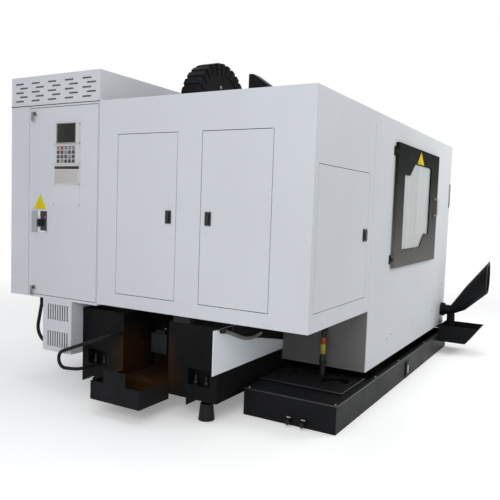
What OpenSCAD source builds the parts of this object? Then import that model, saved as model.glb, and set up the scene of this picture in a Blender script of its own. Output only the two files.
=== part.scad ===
// Vertical milling machine with a sheet-metal enclosure, an electrical cabinet and a coolant tank.
// Millimetres. The operator's front faces -Y, +Z is up.
// The origin is on the floor at the middle of the outline.
// Places are x from the machine's centre plane, d from the rear face, and z.

/* [Enclosure] */
// Width of enclosure
case_w = 2400; // [2380:5:2420]
// Distance from the rear face to the front face
case_d = 3300; // [3280:5:3340]
// Height of roof line
roof_z = 1996; // [1985:1:2010]
// Width of rear guard beside the cabinet
guard_w = 1540; // [1530:1:1550]
// Depth of rear guard
guard_d = 970; // [960:1:980]
// Height of rear guard's lower edge
guard_z = 661; // [655:1:668]
// Height of side panels' lower edge
skirt_z = 238; // [230:1:245]
// Thickness of sheet metal
sheet_t = 4; // [3:0.5:5]
// Width of folded edges
fold_w = 35; // [30:1:40]
// Open seam between neighbouring panels
seam = 3; // [2:0.5:4]

/* [Hinged leaves] */
// Width of rear doors
rear_door_w = 470; // [460:1:480]
// Height of rear doors
rear_door_h = 1020; // [1000:1:1040]
// Height of rear doors' lower edge
rear_door_z = 750; // [740:1:760]
// Centre of the rear door beside the cabinet
rear_door_a_x = -60; // [-70:1:-50]
// Centre of the rear door at the corner
rear_door_b_x = -714; // [-724:1:-704]
// Width of side service door
side_door_w = 822; // [800:1:830]
// Height of side service door
side_door_h = 814; // [800:1:830]
// Height of side service door's lower edge
side_door_z = 768; // [755:1:780]
// Distance of side service door from the rear face
side_door_d = 59; // [50:1:70]
// Gap round each leaf
leaf_gap = 4; // [3.5:0.5:5]
// Depth of each leaf's folded rim
leaf_rim = 20; // [18:1:24]
// Distance of pivot pins from the leaf's edges
pivot_in = 10; // [9:0.5:11]
// Radius of pivot pins
pivot_r = 3; // [2.5:0.5:3.5]
// Running clearance of pins, shafts and slides
run_gap = 0.4; // [0.3:0.05:0.5]
// Height of pivot blocks and lugs
pivot_block = 12; // [10:1:14]

/* [Latches] */
// Width of rear doors' latch handles
latch_w = 40; // [36:1:44]
// Height of latch handles
latch_h = 80; // [76:1:86]
// Width of side door's latch handle
side_latch_w = 64; // [60:1:68]
// Height of a latch handle above its door
latch_out = 15; // [12:1:18]
// Distance of latch centre from the free edge of its door
latch_in = 54; // [52:1:60]
// Height of latch centres above the floor
latch_z = 1260; // [1240:1:1280]
// Height of side latch's centre above the floor
side_latch_z = 1180; // [1160:1:1200]
// Radius of latch shafts
latch_r = 8; // [7:0.5:9]
// Length of tongue behind the door
tongue_l = 34; // [30:1:38]
// Thickness of tongue
latch_t = 5; // [4:0.5:6]

/* [Window door] */
// Distance of window door from the rear face
win_d = 1423; // [1410:1:1436]
// Width of window door
win_w = 1252; // [1240:1:1264]
// Height of window door's lower edge
win_z = 921; // [915:1:930]
// Height of window door
win_h = 925; // [915:1:935]
// Thickness of window door's frame
win_t = 25; // [22:1:28]
// Thickness of pane
pane_t = 6; // [5:0.5:8]
// Lap of window door over its opening
win_lap = 60; // [50:1:70]
// Radius of window hinges' knuckles
knuckle_r = 9; // [8:0.5:10]
// Radius of window hinges' pins
hinge_pin_r = 4; // [3.5:0.5:4.5]
// Length of one window hinge
win_hinge_l = 66; // [60:1:70]
// Distance of window hinges from the door's corners
win_hinge_in = 32; // [28:1:38]
// Width of window frame at its hinges
glass_in = 177; // [170:1:184]
// Width of window frame at its handle
glass_front = 275; // [268:1:282]
// Width of window frame below its pane
glass_up = 131; // [126:1:136]
// Width of window frame above its pane
glass_top = 124; // [120:1:128]
// Distance of window handle from the door's free edge
win_grip_in = 130; // [120:1:140]
// Height of window handle's lower foot
win_grip_low = 1318; // [1310:1:1326]
// Length of window handle
win_grip_l = 140; // [132:1:148]
// Reach of window handle
win_grip_out = 34; // [30:1:38]

/* [Cabinet] */
// Height of cabinet's underside
cabinet_z = 648; // [640:1:656]
// Height of ventilated hood
hood_h = 202; // [195:1:210]
// Width of cabinet door
cabinet_door_w = 656; // [650:1:662]
// Margin below and above the cabinet door
cabinet_door_in = 21; // [20.5:0.5:24]
// Distance of cabinet door from the cabinet's inner side
cabinet_door_x = 10; // [9:0.5:12]
// Length of a hood slot
slot_l = 82; // [78:1:86]
// Height of a hood slot
slot_h = 12; // [10:1:14]
// Spacing of hood slots along a row
slot_pitch = 164; // [160:1:166]
// Spacing of rows of hood slots
row_pitch = 30; // [28:1:31]
// Number of rows of hood slots
slot_rows = 5; // [3:1:5]
// Radius of lock barrels
lock_r = 12; // [10:0.5:13]
// Number of slots in a row of the hood
hood_slots = 5; // [3:1:5]
// Height of lowest row of hood slots
hood_slot_z = 35; // [32:1:38]
// Distance of locks from the door's free edge
lock_in = 58; // [54:1:62]
// Height of upper lock
lock_top_z = 1938; // [1930:1:1946]
// Height of lower lock
lock_low_z = 716; // [710:1:722]
// Length of locks' cams
cam_l = 28; // [26:1:29]
// Distance of drives' mounting plate from the rear face
rack_d = 700; // [680:5:720]
// Number of drives in a row
drives = 4; // [3:1:4]
// Width of a drive
drive_w = 150; // [140:2:152]
// Height of a drive
drive_h = 380; // [370:2:390]
// Depth of a drive
drive_l = 240; // [230:2:250]

/* [Transformer box] */
// Width of transformer box
trafo_w = 280; // [275:1:285]
// Depth of transformer box
trafo_d = 320; // [300:5:340]
// Height of transformer box
trafo_h = 369; // [360:1:375]
// Gap between the transformer box and the bed
trafo_gap = 10; // [8:1:12]
// Number of slots across the transformer box
trafo_slots = 9; // [7:1:9]
// Height of transformer box's slots
trafo_slot_h = 110; // [104:1:116]

/* [Bed and column] */
// Width of bed
bed_w = 1130; // [1120:2:1140]
// Distance of bed from the rear face
bed_d = 100; // [95:1:105]
// Length of bed
bed_l = 2800; // [2760:5:2820]
// Height of bed's underside
bed_z = 127; // [120:1:132]
// Height of bed's top
bed_top = 600; // [590:1:606]
// Width of channel for the feed screw
channel_w = 160; // [154:2:166]
// Width of open trench behind the feed screw
trench_w = 380; // [370:2:390]
// Length of open trench
trench_l = 330; // [320:1:340]
// Height of feed screw's axis
y_axis_z = 400; // [395:1:405]
// Width of column
column_w = 440; // [430:2:446]
// Distance of column from the rear face
column_d = 480; // [470:1:490]
// Depth of column
column_l = 600; // [590:1:610]
// Height of column's top
column_top = 2080; // [2070:1:2090]
// Wall of the column
column_t = 60; // [54:1:66]
// Radius of feet
foot_r = 52; // [48:1:54]
// Width of pockets in the bed's rear
pocket_w = 165; // [160:1:170]
// Height of pockets
pocket_h = 104; // [100:1:108]
// Depth of pockets
pocket_deep = 60; // [50:1:70]
// Distance of pockets from the centre plane
pocket_x = 428; // [420:1:436]
// Height of pockets' lower edge
pocket_z = 217; // [210:1:224]
// Length of screw bearings
bearing_l = 60; // [56:1:64]
// Size of screw bearings
bearing_w = 60; // [56:1:64]
// Depth of feet's bolt holes
foot_hole = 60; // [50:1:70]
// Share of a foot's radius left at its top
foot_taper = 0.8; // [0.7:0.05:0.9]
// Height of feet's pads
pad_h = 104; // [98:1:108]
// Height of feet's nuts
nut_h = 16; // [12:1:18]
// Width of cast lugs under the bed's rear
lug_w = 78; // [74:1:82]
// Height of cast lugs
lug_h = 48; // [44:1:52]
// Place of inner lug along x
lug_x = -335; // [-345:1:-325]

/* [Slides] */
// Travel of saddle to each side of the middle
y_travel = 220; // [200:5:225]
// Travel of table to each side of the middle
x_travel = 400; // [380:5:410]
// Travel of head below its rest
z_travel = 420; // [400:5:430]
// Height of guide rails
rail_h = 40; // [38:1:42]
// Width of guide rails
rail_w = 45; // [42:1:48]
// Distance of bed rails from the centre plane
bed_rail_x = 380; // [370:1:390]
// Distance of column rails from the centre plane
column_rail_x = 150; // [145:1:155]
// Radius of feed screws
screw_r = 14; // [12:0.5:15]
// Width of saddle
saddle_w = 1080; // [1070:2:1090]
// Depth of saddle
saddle_l = 800; // [780:2:820]
// Thickness of saddle
saddle_t = 80; // [76:1:84]
// Height of saddle's ribs under the table rails
rib_h = 50; // [48:1:54]
// Length of table
table_w = 1200; // [1180:5:1220]
// Depth of table
table_l = 540; // [530:2:550]
// Thickness of table
table_t = 84; // [80:1:88]
// Distance of spindle axis from the rear face
spindle_d = 1750; // [1740:1:1760]
// Height of spindle nose at rest
nose_z = 1330; // [1326:1:1340]
// Radius of spindle
spindle_r = 50; // [46:1:54]
// Clearance of parts that pass each other
slide_gap = 2; // [1.5:0.5:3]
// Height of table's rails
x_rail_h = 36; // [34:1:38]
// Margin of saddle's ribs beside their rails
rib_in = 5; // [4:1:7]
// Distance of feed screw's end from the bed's front
screw_stop = 400; // [380:5:420]
// Gap between the lowered lifting nut and the lower bearing
z_screw_in = 20; // [15:1:25]
// Distance of table screw's bearings from the saddle's ends
screw_in = 10; // [8:1:12]
// Height of table screw above the saddle
x_screw_up = 38; // [36:1:40]
// Length of collars on the screws
collar_l = 20; // [18:1:22]
// Height of collars on the screws
collar_h = 8; // [6:1:9]
// Distance of table's rails from its middle
table_rail_in = 150; // [145:1:155]
// Width of screw nuts
nut_w = 70; // [66:1:74]
// Width of table's tee slots
tee_w = 18; // [16:1:20]
// Width of tee slots' feet
tee_foot = 32; // [30:1:34]
// Spacing of tee slots
tee_pitch = 125; // [120:1:130]

/* [Cable chain] */
// Outer radius of the bend
chain_r = 300; // [290:1:305]
// Thickness of chain
chain_t = 70; // [64:1:74]
// Width of chain
chain_w = 120; // [112:1:124]
// Height of bend's centre
chain_z = 1953; // [1945:1:1960]
// Distance of chain from the rear face
chain_d = 100; // [95:1:105]
// Gap between the chain and the column
chain_gap = 10; // [9:1:12]
// Number of links round the bend
bend_links = 15; // [12:1:16]
// Depth of gaps between links
link_in = 5; // [4:0.5:6]
// Length of raised part of a link
link_l = 39; // [36:1:42]
// Length of chain in its rear guide when the head is down
chain_rear_l = 180; // [170:1:190]
// Length of chain in the head's guide when the head is down
chain_front_l = 140; // [130:1:150]
// Gap between the chain and its guides
guide_gap = 0.5; // [0.4:0.1:0.8]

/* [Coolant tank] */
// Gap between the tank and the bed
tank_gap = 38; // [34:1:42]
// Distance of tank from the rear face
tank_d = 367; // [360:1:374]
// Height of tank
tank_h = 175; // [170:1:180]
// Reach of tank beyond the enclosure's side
tank_out = 40; // [36:1:44]
// Width of raised tank cover
lid_w = 585; // [575:1:586]
// Depth of raised tank cover
lid_l = 420; // [410:1:430]
// Height of raised tank cover
lid_h = 14; // [12:1:16]
// Radius of pump opening
pump_r = 96; // [92:1:100]
// Radius of coolant pipe
pipe_r = 15; // [14:0.5:16]
// Distance of tank from the front face
tank_in = 10; // [8:1:14]
// Distance of raised cover from the tank's rear
lid_in = 213; // [208:1:218]
// Distance of raised cover from the tank's outer side
lid_side = 52; // [48:1:56]
// Distance of pump from the cover's outer side
pump_in = 145; // [140:1:150]
// Distance of pump from the cover's rear edge
pump_ahead = 235; // [230:1:240]
// Radius of pump's foot
impeller_r = 58; // [55:1:60]
// Radius of pump's body
pump_body_r = 82; // [80:1:84]
// Radius of pump's cap
pump_cap_r = 29; // [26:1:32]
// Distance of filler opening from the cover's inner side
filler_in = 87; // [84:1:90]
// Radius of filler opening
filler_r = 75; // [72:1:78]
// Distance of level gauge from the rear face
gauge_d = 1830; // [1800:5:1860]
// Width of level gauge
gauge_w = 90; // [85:1:95]
// Height of level gauge
gauge_h = 115; // [110:1:120]
// Radius of drain stubs
stub_r = 14; // [12:1:15]
// Length of drain stubs
stub_l = 40; // [35:1:45]
// Distance of first drain stub from the tank's outer side
stub_in = 202; // [190:1:210]
// Spacing of drain stubs
stub_pitch = 98; // [90:1:106]
// Place of coolant pipe along x
pipe_x = -906; // [-912:1:-900]
// Distance of coolant pipe from the rear face
pipe_d = 922; // [918:1:924]
// Height of coolant pipe's straight part
pipe_top = 470; // [460:1:480]
// Radius of coolant pipe's bend
pipe_bend = 40; // [38:1:42]
// Height of pipe's union
union_h = 80; // [76:1:84]
// Radius of pipe's union
union_r = 20; // [18:1:22]

/* [Chip auger] */
// Distance of auger from the front face
auger_in = 100; // [96:1:104]
// Height of auger's axis
auger_z = 387; // [380:1:394]
// Outer radius of the auger tube
auger_r = 48; // [46:0.5:50]
// Length of tube outside the enclosure
auger_out = 60; // [56:1:64]
// Reach of chute's mouth from the enclosure's side
chute_out = 428; // [420:1:436]
// Reach of chute's lower bend from the enclosure's side
bend_out = 231; // [224:1:238]
// Height of chute at its bend
bend_h = 237; // [230:1:244]
// Height of chute's lower side at its bend
bend_z = 401; // [396:1:406]
// Height of chute's mouth
mouth_h = 310; // [300:1:318]
// Height of mouth's lower lip
mouth_z = 583; // [575:1:590]
// Wall of the auger tube
auger_wall = 4; // [3.5:0.5:5]
// Number of turns of the auger
flight_turns = 12; // [10:1:12]
// Number of steps to one turn of the auger
flight_steps = 12; // [10:1:12]
// Thickness of auger's flight
flight_t = 8; // [7:0.5:9]
// Width of chute's mouth
mouth_w = 180; // [170:1:190]
// Length of chute's collar
collar = 35; // [32:1:38]

/* [Drip trough] */
// Width of drip trough under the feed motor
trough_w = 400; // [390:2:410]
// Height of drip trough's underside
trough_z = 94; // [90:1:98]
// Height of drip trough's low walls
trough_h = 118; // [112:1:124]
// Height of drip trough's raised wall
splash_h = 204; // [196:1:210]
// Length of raised wall
splash_w = 180; // [174:1:186]
// Distance of raised wall from the trough's side
splash_in = 108; // [102:1:114]
// Reach of drip trough behind the rear face
trough_out = 188; // [180:1:196]

/* [Front door] */
// Width of front opening
front_w = 960; // [940:2:980]
// Height of front opening's lower edge
front_z = 560; // [550:1:570]
// Height of front opening
front_h = 1290; // [1280:1:1300]
// Lap of sliding door over its opening
front_lap = 20; // [18:1:24]
// Thickness of sliding door
front_t = 32; // [30:1:36]
// Travel of sliding door
front_travel = 640; // [620:5:650]
// Reach of front handle
handle_out = 50; // [45:1:55]
// Side of sliding door's rails
rail_bar = 20; // [18:1:22]
// Width of sliding door's frame at its handle
pane_in = 180; // [170:2:190]
// Radius of door handles
handle_r = 12; // [11:0.5:13]
// Height of front handle's lower foot
grip_low = 1050; // [1030:5:1070]
// Height of front handle's upper foot
grip_high = 1350; // [1330:5:1370]

/* [Head] */
// Width of spindle head
head_w = 340; // [330:2:350]
// Height of spindle head
head_h = 370; // [360:2:380]
// Height of spindle nose
nose_h = 150; // [145:1:155]
// Radius of spindle nose
nose_r = 120; // [115:1:125]
// Thickness of spindle's flange
nose_flange = 25; // [22:1:28]
// Radius of spindle's flange
spindle_flange_r = 75; // [70:1:80]
// Radius of tool taper at its mouth
taper_r = 35; // [32:1:37]
// Radius of tool taper at its end
taper_end_r = 21; // [19:1:23]
// Depth of tool taper
taper_h = 100; // [95:1:105]
// Thickness of head's carriage
carriage_t = 50; // [48:1:54]
// Radius of spindle motor
spindle_motor_r = 115; // [110:1:120]
// Height of spindle motor
spindle_motor_h = 300; // [290:2:310]
// Number of cooling fins on the spindle motor
motor_fins = 5; // [4:1:5]

/* [Feed motors] */
// Side of feed motor of the saddle
motor_w = 150; // [140:2:156]
// Side of lifting motor
lift_motor_w = 120; // [114:2:124]
// Side of table's and the auger's motors
small_motor_w = 88; // [84:1:92]
// Thickness of motors' flanges
motor_flange = 40; // [36:1:42]
// Side of a motor's body as a share of its flange
motor_body = 0.88; // [0.84:0.01:0.92]

/* [Junction box] */
// Width of junction box
box_w = 160; // [155:1:165]
// Distance of junction box from the rear face
box_d = 940; // [930:1:950]
// Depth of junction box
box_l = 100; // [95:1:105]
// Height of junction box's underside
box_low = 1990; // [1985:1:1995]
// Height of junction box's top
box_high = 2311; // [2300:1:2320]
// Drop of junction box's lid
box_slope = 86; // [80:1:90]

/* [Chip tray] */
// Length of chip tray
tray_l = 340; // [330:2:350]
// Width of chip tray at its rim
tray_w = 360; // [350:2:370]
// Width of chip tray at its floor
tray_foot = 250; // [240:2:260]
// Height of chip tray's underside
tray_z = 112; // [105:1:118]
// Depth of chip tray
tray_h = 153; // [148:1:158]
// Radius of post that carries the chute
post_r = 38; // [34:1:42]

/* [Skirt] */
// Height of skirt panel's lower edge
skirt_low = 315; // [310:1:320]
// Height of skirt panel's upper edge
skirt_high = 592; // [585:1:600]
// Distance of skirt panel from the rear face
skirt_d = 40; // [35:1:45]

/* [Control and main switch] */
// Width of control unit
control_w = 246; // [240:1:252]
// Height of control unit
control_h = 560; // [556:1:570]
// Height of one rack unit of the control
rack_h = 137; // [134:1:138]
// Width of main switch plate
switch_w = 148; // [140:1:156]
// Height of main switch plate
switch_h = 152; // [146:1:158]
// Radius of main switch handle
switch_r = 26; // [24:1:28]
// Place of control unit's middle along x
control_x = 632; // [626:1:638]
// Height of control unit's lower edge
control_z = 1302; // [1296:1:1308]
// Width of screen
screen_w = 172; // [168:1:176]
// Height of screen
screen_h = 125; // [122:1:128]
// Thickness of screen's bezel
bezel_t = 10; // [9:0.5:12]
// Width of control unit's rows
bezel_w = 235; // [230:1:240]
// Number of key columns
key_cols = 5; // [4:1:5]
// Number of key rows
key_rows = 4; // [3:1:4]
// Spacing of key columns
key_pitch = 36; // [34:1:38]
// Width of a key
key_size = 27; // [25:1:28]
// Height of a key
key_h = 25; // [23:1:26]
// Gap between rows of keys
key_gap = 5; // [4:0.5:5.5]
// Place of main switch plate along x
switch_x = 893; // [888:1:898]
// Height of main switch plate
switch_z = 1186; // [1180:1:1192]
// Thickness of main switch plate
plate_t = 6; // [5:0.5:7]
// Radius of main switch shaft
shaft_r = 7; // [6:0.5:8]
// Thickness of main switch knob
knob_t = 14; // [12:1:16]
// Length of a lock's key
key_l = 42; // [38:1:46]
// Width of a lock's key
key_w = 22; // [20:1:24]
// Thickness of a lock's key
key_t = 3; // [2.5:0.5:3.5]

/* [Hoses] */
// Radius of supply hose
supply_r = 13; // [12:0.5:13]
// Bend radius of the supply hose
supply_bend = 105; // [104:1:106]
// Place of supply hose's upper end along x
supply_x = 940; // [935:1:945]
// Distance of supply hose from the rear face
supply_d = 60; // [55:1:65]
// Straight part below the cabinet
supply_drop = 58; // [52:1:62]
// Reach of supply hose beside the transformer box
supply_out = 150; // [148:1:156]
// Height of supply hose's lower end
supply_z = 315; // [312:1:320]
// Radius of motor cable
motor_cable_r = 12; // [11:0.5:12]
// Bend radius of the motor cable
motor_bend = 58; // [56:1:58]
// Reach of motor cable behind the rear face
cable_out = 30; // [28:1:34]
// Height of motor cable's upper end
cable_z = 470; // [465:1:475]
// Reach of motor cable's loop along x
cable_x = 660; // [655:1:665]
// Fall of motor cable to its loop
cable_fall = 178; // [172:1:180]
// Height of loop's lower run
cable_low = 185; // [182:1:188]
// Steps in one bend of a hose
bend_steps = 6; // [5:1:7]

/* [Hidden] */
$fn = 48;

x_mid = chute_out / 2;
y_rear = (case_d + handle_out - trough_out) / 2;
x_left = -case_w / 2;
x_right = case_w / 2;
x_guard = x_left + guard_w;
x_cabinet = x_guard + seam;
cabinet_l = guard_d - sheet_t;
bolt_r = 6;
over = 1;

paint = "gainsboro";
black = "#202226";
steel = "silver";
iron = "dimgray";

// A block between two values of x, of the distance d from the rear face, and of z
module block(x, d, z) {
    translate([x_mid + x[0], y_rear - d[1], z[0]])
        cube([x[1] - x[0], d[1] - d[0], z[1] - z[0]]);
}

module rod_x(x, d, z, r) {
    translate([x_mid + x[0], y_rear - d, z])
        rotate([0, 90, 0]) cylinder(h = x[1] - x[0], r = r);
}

module rod_y(x, d, z, r) {
    translate([x_mid + x, y_rear - d[0], z])
        rotate([90, 0, 0]) cylinder(h = d[1] - d[0], r = r);
}

module rod_z(x, d, z, r) {
    translate([x_mid + x, y_rear - d, z[0]])
        cylinder(h = z[1] - z[0], r = r);
}

// An outline of (d, z) points made into a plate between two values of x
module side_plate(x, outline) {
    translate([x_mid + x[1], y_rear, 0])
        rotate([90, 0, -90])
            linear_extrude(x[1] - x[0]) polygon(outline);
}

// Hinged leaves: along x from the pivot edge, outer face at y = 0, lower edge at z = 0
module leaf_sheet(w, h) {
    difference() {
        translate([0, -leaf_rim, 0]) cube([w, leaf_rim, h]);
        translate([sheet_t, -leaf_rim - over, sheet_t])
            cube([w - 2 * sheet_t, leaf_rim - sheet_t + over, h - 2 * sheet_t]);
    }
    translate([0, -leaf_rim, 0]) pivot_corner();
    translate([0, -leaf_rim, h - pivot_block]) pivot_corner();
    translate([pivot_in, -pivot_in, -leaf_gap - pivot_block]) cylinder(h = leaf_gap + pivot_block, r = pivot_r);
    translate([pivot_in, -pivot_in, h]) cylinder(h = leaf_gap + pivot_block, r = pivot_r);
}

module pivot_corner() {
    cube([2 * pivot_in, leaf_rim - sheet_t, pivot_block]);
}

// Opening for a leaf, cut through the panel's sheet
module leaf_cut(w, h) {
    translate([-leaf_gap, -sheet_t - over, -leaf_gap])
        cube([w + 2 * leaf_gap, sheet_t + 2 * over, h + 2 * leaf_gap]);
}

// Welded lugs that take the leaf's pivot pins
module leaf_lugs(w, h) {
    for (z = [-leaf_gap - pivot_block, h + leaf_gap])
        translate([-leaf_gap, 0, z])
            difference() {
                translate([0, -leaf_rim, 0])
                    cube([2 * pivot_in + leaf_gap, leaf_rim - sheet_t, pivot_block]);
                translate([pivot_in + leaf_gap, -pivot_in, -over])
                    cylinder(h = pivot_block + 2 * over, r = pivot_r + run_gap);
            }
}

module latch_hole(w, z) {
    translate([w - latch_in, over, z]) rotate([90, 0, 0])
        cylinder(h = sheet_t + 2 * over, r = latch_r + run_gap);
}

// Turning handle, shaft and tongue of a latch, centred on its shaft
module latch(w) {
    translate([-w / 2, run_gap, -latch_h / 2]) cube([w, latch_out / 2, latch_h]);
    translate([-w / 4, run_gap, -latch_h * 3 / 8]) cube([w / 2, latch_out, latch_h * 3 / 4]);
    rotate([90, 0, 0]) translate([0, 0, -latch_out / 2]) cylinder(h = latch_out / 2 + leaf_rim, r = latch_r);
    translate([-latch_r, -leaf_rim, -latch_r]) cube([2 * latch_r, latch_t, tongue_l + latch_r]);
}

// Where each hinged leaf hangs
module at_rear_door_a() {
    translate([x_mid + rear_door_a_x + rear_door_w / 2, y_rear, rear_door_z]) mirror([1, 0, 0]) children();
}

module at_rear_door_b() {
    translate([x_mid + rear_door_b_x - rear_door_w / 2, y_rear, rear_door_z]) children();
}

module at_side_door() {
    translate([x_mid + x_left, y_rear - side_door_d, side_door_z])
        mirror([0, 1, 0]) rotate([0, 0, 90]) children();
}

module at_cabinet_door() {
    translate([x_mid + x_cabinet + cabinet_door_x, y_rear, cabinet_z + cabinet_door_in]) children();
}

cabinet_door_h = roof_z - cabinet_z - 2 * cabinet_door_in;

// Bed, column and feet
y_screw_end = bed_d + bed_l - screw_stop;

module base_casting() {
    color(black) difference() {
        union() {
            difference() {
                block([-bed_w / 2, bed_w / 2], [bed_d, bed_d + bed_l], [bed_z, bed_top]);
                block([-channel_w / 2, channel_w / 2], [bed_d - over, bed_d + bed_l + over],
                    [y_axis_z - bearing_w, bed_top + over]);
                block([-trench_w / 2, trench_w / 2], [bed_d - over, bed_d + trench_l],
                    [bed_z + lug_h, bed_top + over]);
                for (side = [-1, 1])
                    block([side * pocket_x - pocket_w / 2, side * pocket_x + pocket_w / 2],
                        [bed_d - over, bed_d + pocket_deep], [pocket_z, pocket_z + pocket_h]);
            }
            for (d = [bed_d + trench_l, y_screw_end - bearing_l])
                block([-channel_w / 2, channel_w / 2], [d, d + bearing_l],
                    [y_axis_z - bearing_w, y_axis_z + bearing_w]);
            for (x = [lug_x, bed_w / 2])
                translate([x_mid + x, y_rear - bed_d, bed_z])
                    rotate([90, 0, 0]) linear_extrude(lug_w) polygon([[0, 0], [0, -lug_h], [-lug_w, 0]]);
        }
        rod_y(0, [bed_d - over, y_screw_end + over], y_axis_z, screw_r + run_gap);
        for (x = foot_xs)
            for (d = foot_ds)
                rod_z(x, d, [bed_z - over, bed_z + foot_hole], bolt_r + run_gap);
    }
}

foot_xs = [-bed_w / 2 + 2 * foot_r, bed_w / 2 - 2 * foot_r];
foot_ds = [bed_d + foot_r, bed_d + bed_l / 2, bed_d + bed_l - foot_r];

module levelling_feet() {
    color(iron)
        for (x = foot_xs)
            for (d = foot_ds) {
                translate([x_mid + x, y_rear - d, 0])
                    cylinder(h = pad_h, r1 = foot_r, r2 = foot_r * foot_taper);
                rod_z(x, d, [pad_h, bed_z + foot_hole - over], bolt_r);
                translate([x_mid + x, y_rear - d, bed_z - nut_h]) cylinder(h = nut_h, r = 3 * bolt_r, $fn = 6);
            }
}

module column() {
    wall = column_t;
    front = column_d + column_l;
    color(black) difference() {
        union() {
            block([-column_w / 2, column_w / 2], [column_d, front], [bed_top, column_top]);
            block([-column_w / 2 - wall, column_w / 2 + wall], [column_d - wall, front],
                [bed_top, bed_top + wall]);
            for (z = [z_screw_low, z_screw_top - bearing_l])
                block([-bearing_w / 2, bearing_w / 2], [front, front + rail_h - over], [z, z + bearing_l]);
        }
        block([-column_w / 2 + wall, column_w / 2 - wall], [column_d - over, front - wall],
            [bed_top + 3 * wall, column_top - wall]);
        rod_z(0, z_screw_d, [z_screw_low - over, z_screw_top + over], screw_r + run_gap);
    }
}

z_screw_d = column_d + column_l + rail_h / 2;
z_screw_low = nose_z + nose_h + nut_w - z_travel - bearing_l - z_screw_in;
z_screw_top = column_top - run_gap;

module guide_rails() {
    front = column_d + column_l;
    color(steel)
        for (side = [-1, 1]) {
            block([side * bed_rail_x - rail_w / 2, side * bed_rail_x + rail_w / 2],
                [front + rail_h, bed_d + bed_l - rail_h], [bed_top, bed_top + rail_h]);
            block([side * column_rail_x - rail_w / 2, side * column_rail_x + rail_w / 2],
                [front, front + rail_h], [z_screw_low, column_top - rail_h]);
        }
}

// Feed screws
collar_r = screw_r + collar_h;

module y_screw() {
    color(steel) {
        rod_y(0, [bed_d + trench_l - motor_flange + run_gap, y_screw_end + 2 * collar_l], y_axis_z, screw_r);
        rod_y(0, [y_screw_end + run_gap, y_screw_end + collar_l], y_axis_z, collar_r);
    }
}

module z_screw() {
    color(steel) {
        rod_z(0, z_screw_d, [z_screw_low - 2 * collar_l, z_screw_top], screw_r);
        rod_z(0, z_screw_d, [z_screw_low - collar_l, z_screw_low - run_gap], rail_h / 2 - slide_gap);
    }
}

x_screw_reach = saddle_w / 2 - screw_in;
x_axis_z = bed_top + rail_h + run_gap + saddle_t + x_screw_up;

module x_screw() {
    color(steel) {
        rod_x([-x_screw_reach, saddle_w / 2 + motor_flange - run_gap], table_mid_d, x_axis_z, screw_r);
        rod_x([-x_screw_reach + bearing_l / 2 + run_gap, -x_screw_reach + bearing_l / 2 + collar_l],
            table_mid_d, x_axis_z, collar_r - slide_gap);
    }
}

// Motors that stand still
module servo(w, l) {
    body = w * motor_body;
    difference() {
        translate([-w / 2, -w / 2, 0]) cube([w, w, motor_flange]);
        translate([0, 0, -over]) cylinder(h = motor_flange + over, r = screw_r + run_gap);
    }
    translate([-body / 2, -body / 2, motor_flange]) cube([body, body, l]);
    translate([-w / 4, -body / 2 - w / 8, motor_flange + l - w / 3]) cube([w / 2, w / 8, w / 4]);
}

module axis_motors() {
    color(iron) {
        translate([x_mid, y_rear - bed_d - trench_l, y_axis_z]) rotate([-90, 0, 0]) servo(motor_w, motor_w);
        translate([x_mid, y_rear - z_screw_d, column_top]) servo(lift_motor_w, lift_motor_w);
        translate([x_mid + auger_end, y_rear - auger_d, auger_z])
            rotate([0, 90, 0]) servo(small_motor_w, small_motor_w / 2);
    }
}

// Open tray behind the bed that catches oil from the feed motor
module drip_trough() {
    outer_x = [-trough_w / 2, trough_w / 2];
    color(black) {
        difference() {
            block(outer_x, [-trough_out, bed_d], [trough_z, trough_z + trough_h]);
            block([outer_x[0] + sheet_t, outer_x[1] - sheet_t], [-trough_out + sheet_t, bed_d + over],
                [trough_z + sheet_t, trough_z + trough_h + over]);
        }
        block([outer_x[1] - splash_in - splash_w, outer_x[1] - splash_in], [-trough_out, -trough_out + sheet_t],
            [trough_z + trough_h, trough_z + splash_h]);
    }
}

// Enclosure panels
module rear_panel() {
    color(paint) {
        difference() {
            union() {
                block([x_left, x_guard], [0, sheet_t], [guard_z, roof_z]);
                for (z = [guard_z, roof_z - sheet_t])
                    block([x_left + sheet_t, x_guard], [sheet_t, fold_w], [z, z + sheet_t]);
                block([x_guard - sheet_t, x_guard], [sheet_t, fold_w], [guard_z + sheet_t, roof_z - sheet_t]);
            }
            at_rear_door_a() leaf_cut(rear_door_w, rear_door_h);
            at_rear_door_b() leaf_cut(rear_door_w, rear_door_h);
        }
        at_rear_door_a() leaf_lugs(rear_door_w, rear_door_h);
        at_rear_door_b() leaf_lugs(rear_door_w, rear_door_h);
    }
}

module left_guard_panel() {
    color(paint) {
        difference() {
            union() {
                block([x_left, x_left + sheet_t], [sheet_t, guard_d - seam], [guard_z, roof_z]);
                for (z = [guard_z, roof_z - sheet_t])
                    block([x_left + sheet_t, x_left + fold_w], [fold_w, guard_d - 2 * sheet_t],
                        [z, z + sheet_t]);
            }
            at_side_door() leaf_cut(side_door_w, side_door_h);
        }
        at_side_door() leaf_lugs(side_door_w, side_door_h);
    }
}

// One long side panel at x, its folds turned inside
module long_panel(x, inside) {
    inner = inside > 0 ? x + sheet_t : x;
    fold = inside > 0 ? [inner, x + fold_w] : [x + sheet_t - fold_w, inner];
    block([x, x + sheet_t], [guard_d, case_d], [skirt_z, roof_z]);
    block(fold, [guard_d, case_d - sheet_t], [roof_z - sheet_t, roof_z]);
    block(fold, [guard_d, guard_d + sheet_t], [skirt_z + sheet_t, roof_z - sheet_t]);
}

module left_side_panel() {
    color(paint) difference() {
        long_panel(x_left, 1);
        block([x_left - over, x_left + sheet_t + over], [win_d + win_lap, win_d + win_w - win_lap],
            [win_z + win_lap, win_z + win_h - win_lap]);
        rod_x([x_left - over, x_left + sheet_t + over], auger_d, auger_z, auger_r + run_gap);
    }
}

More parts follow.
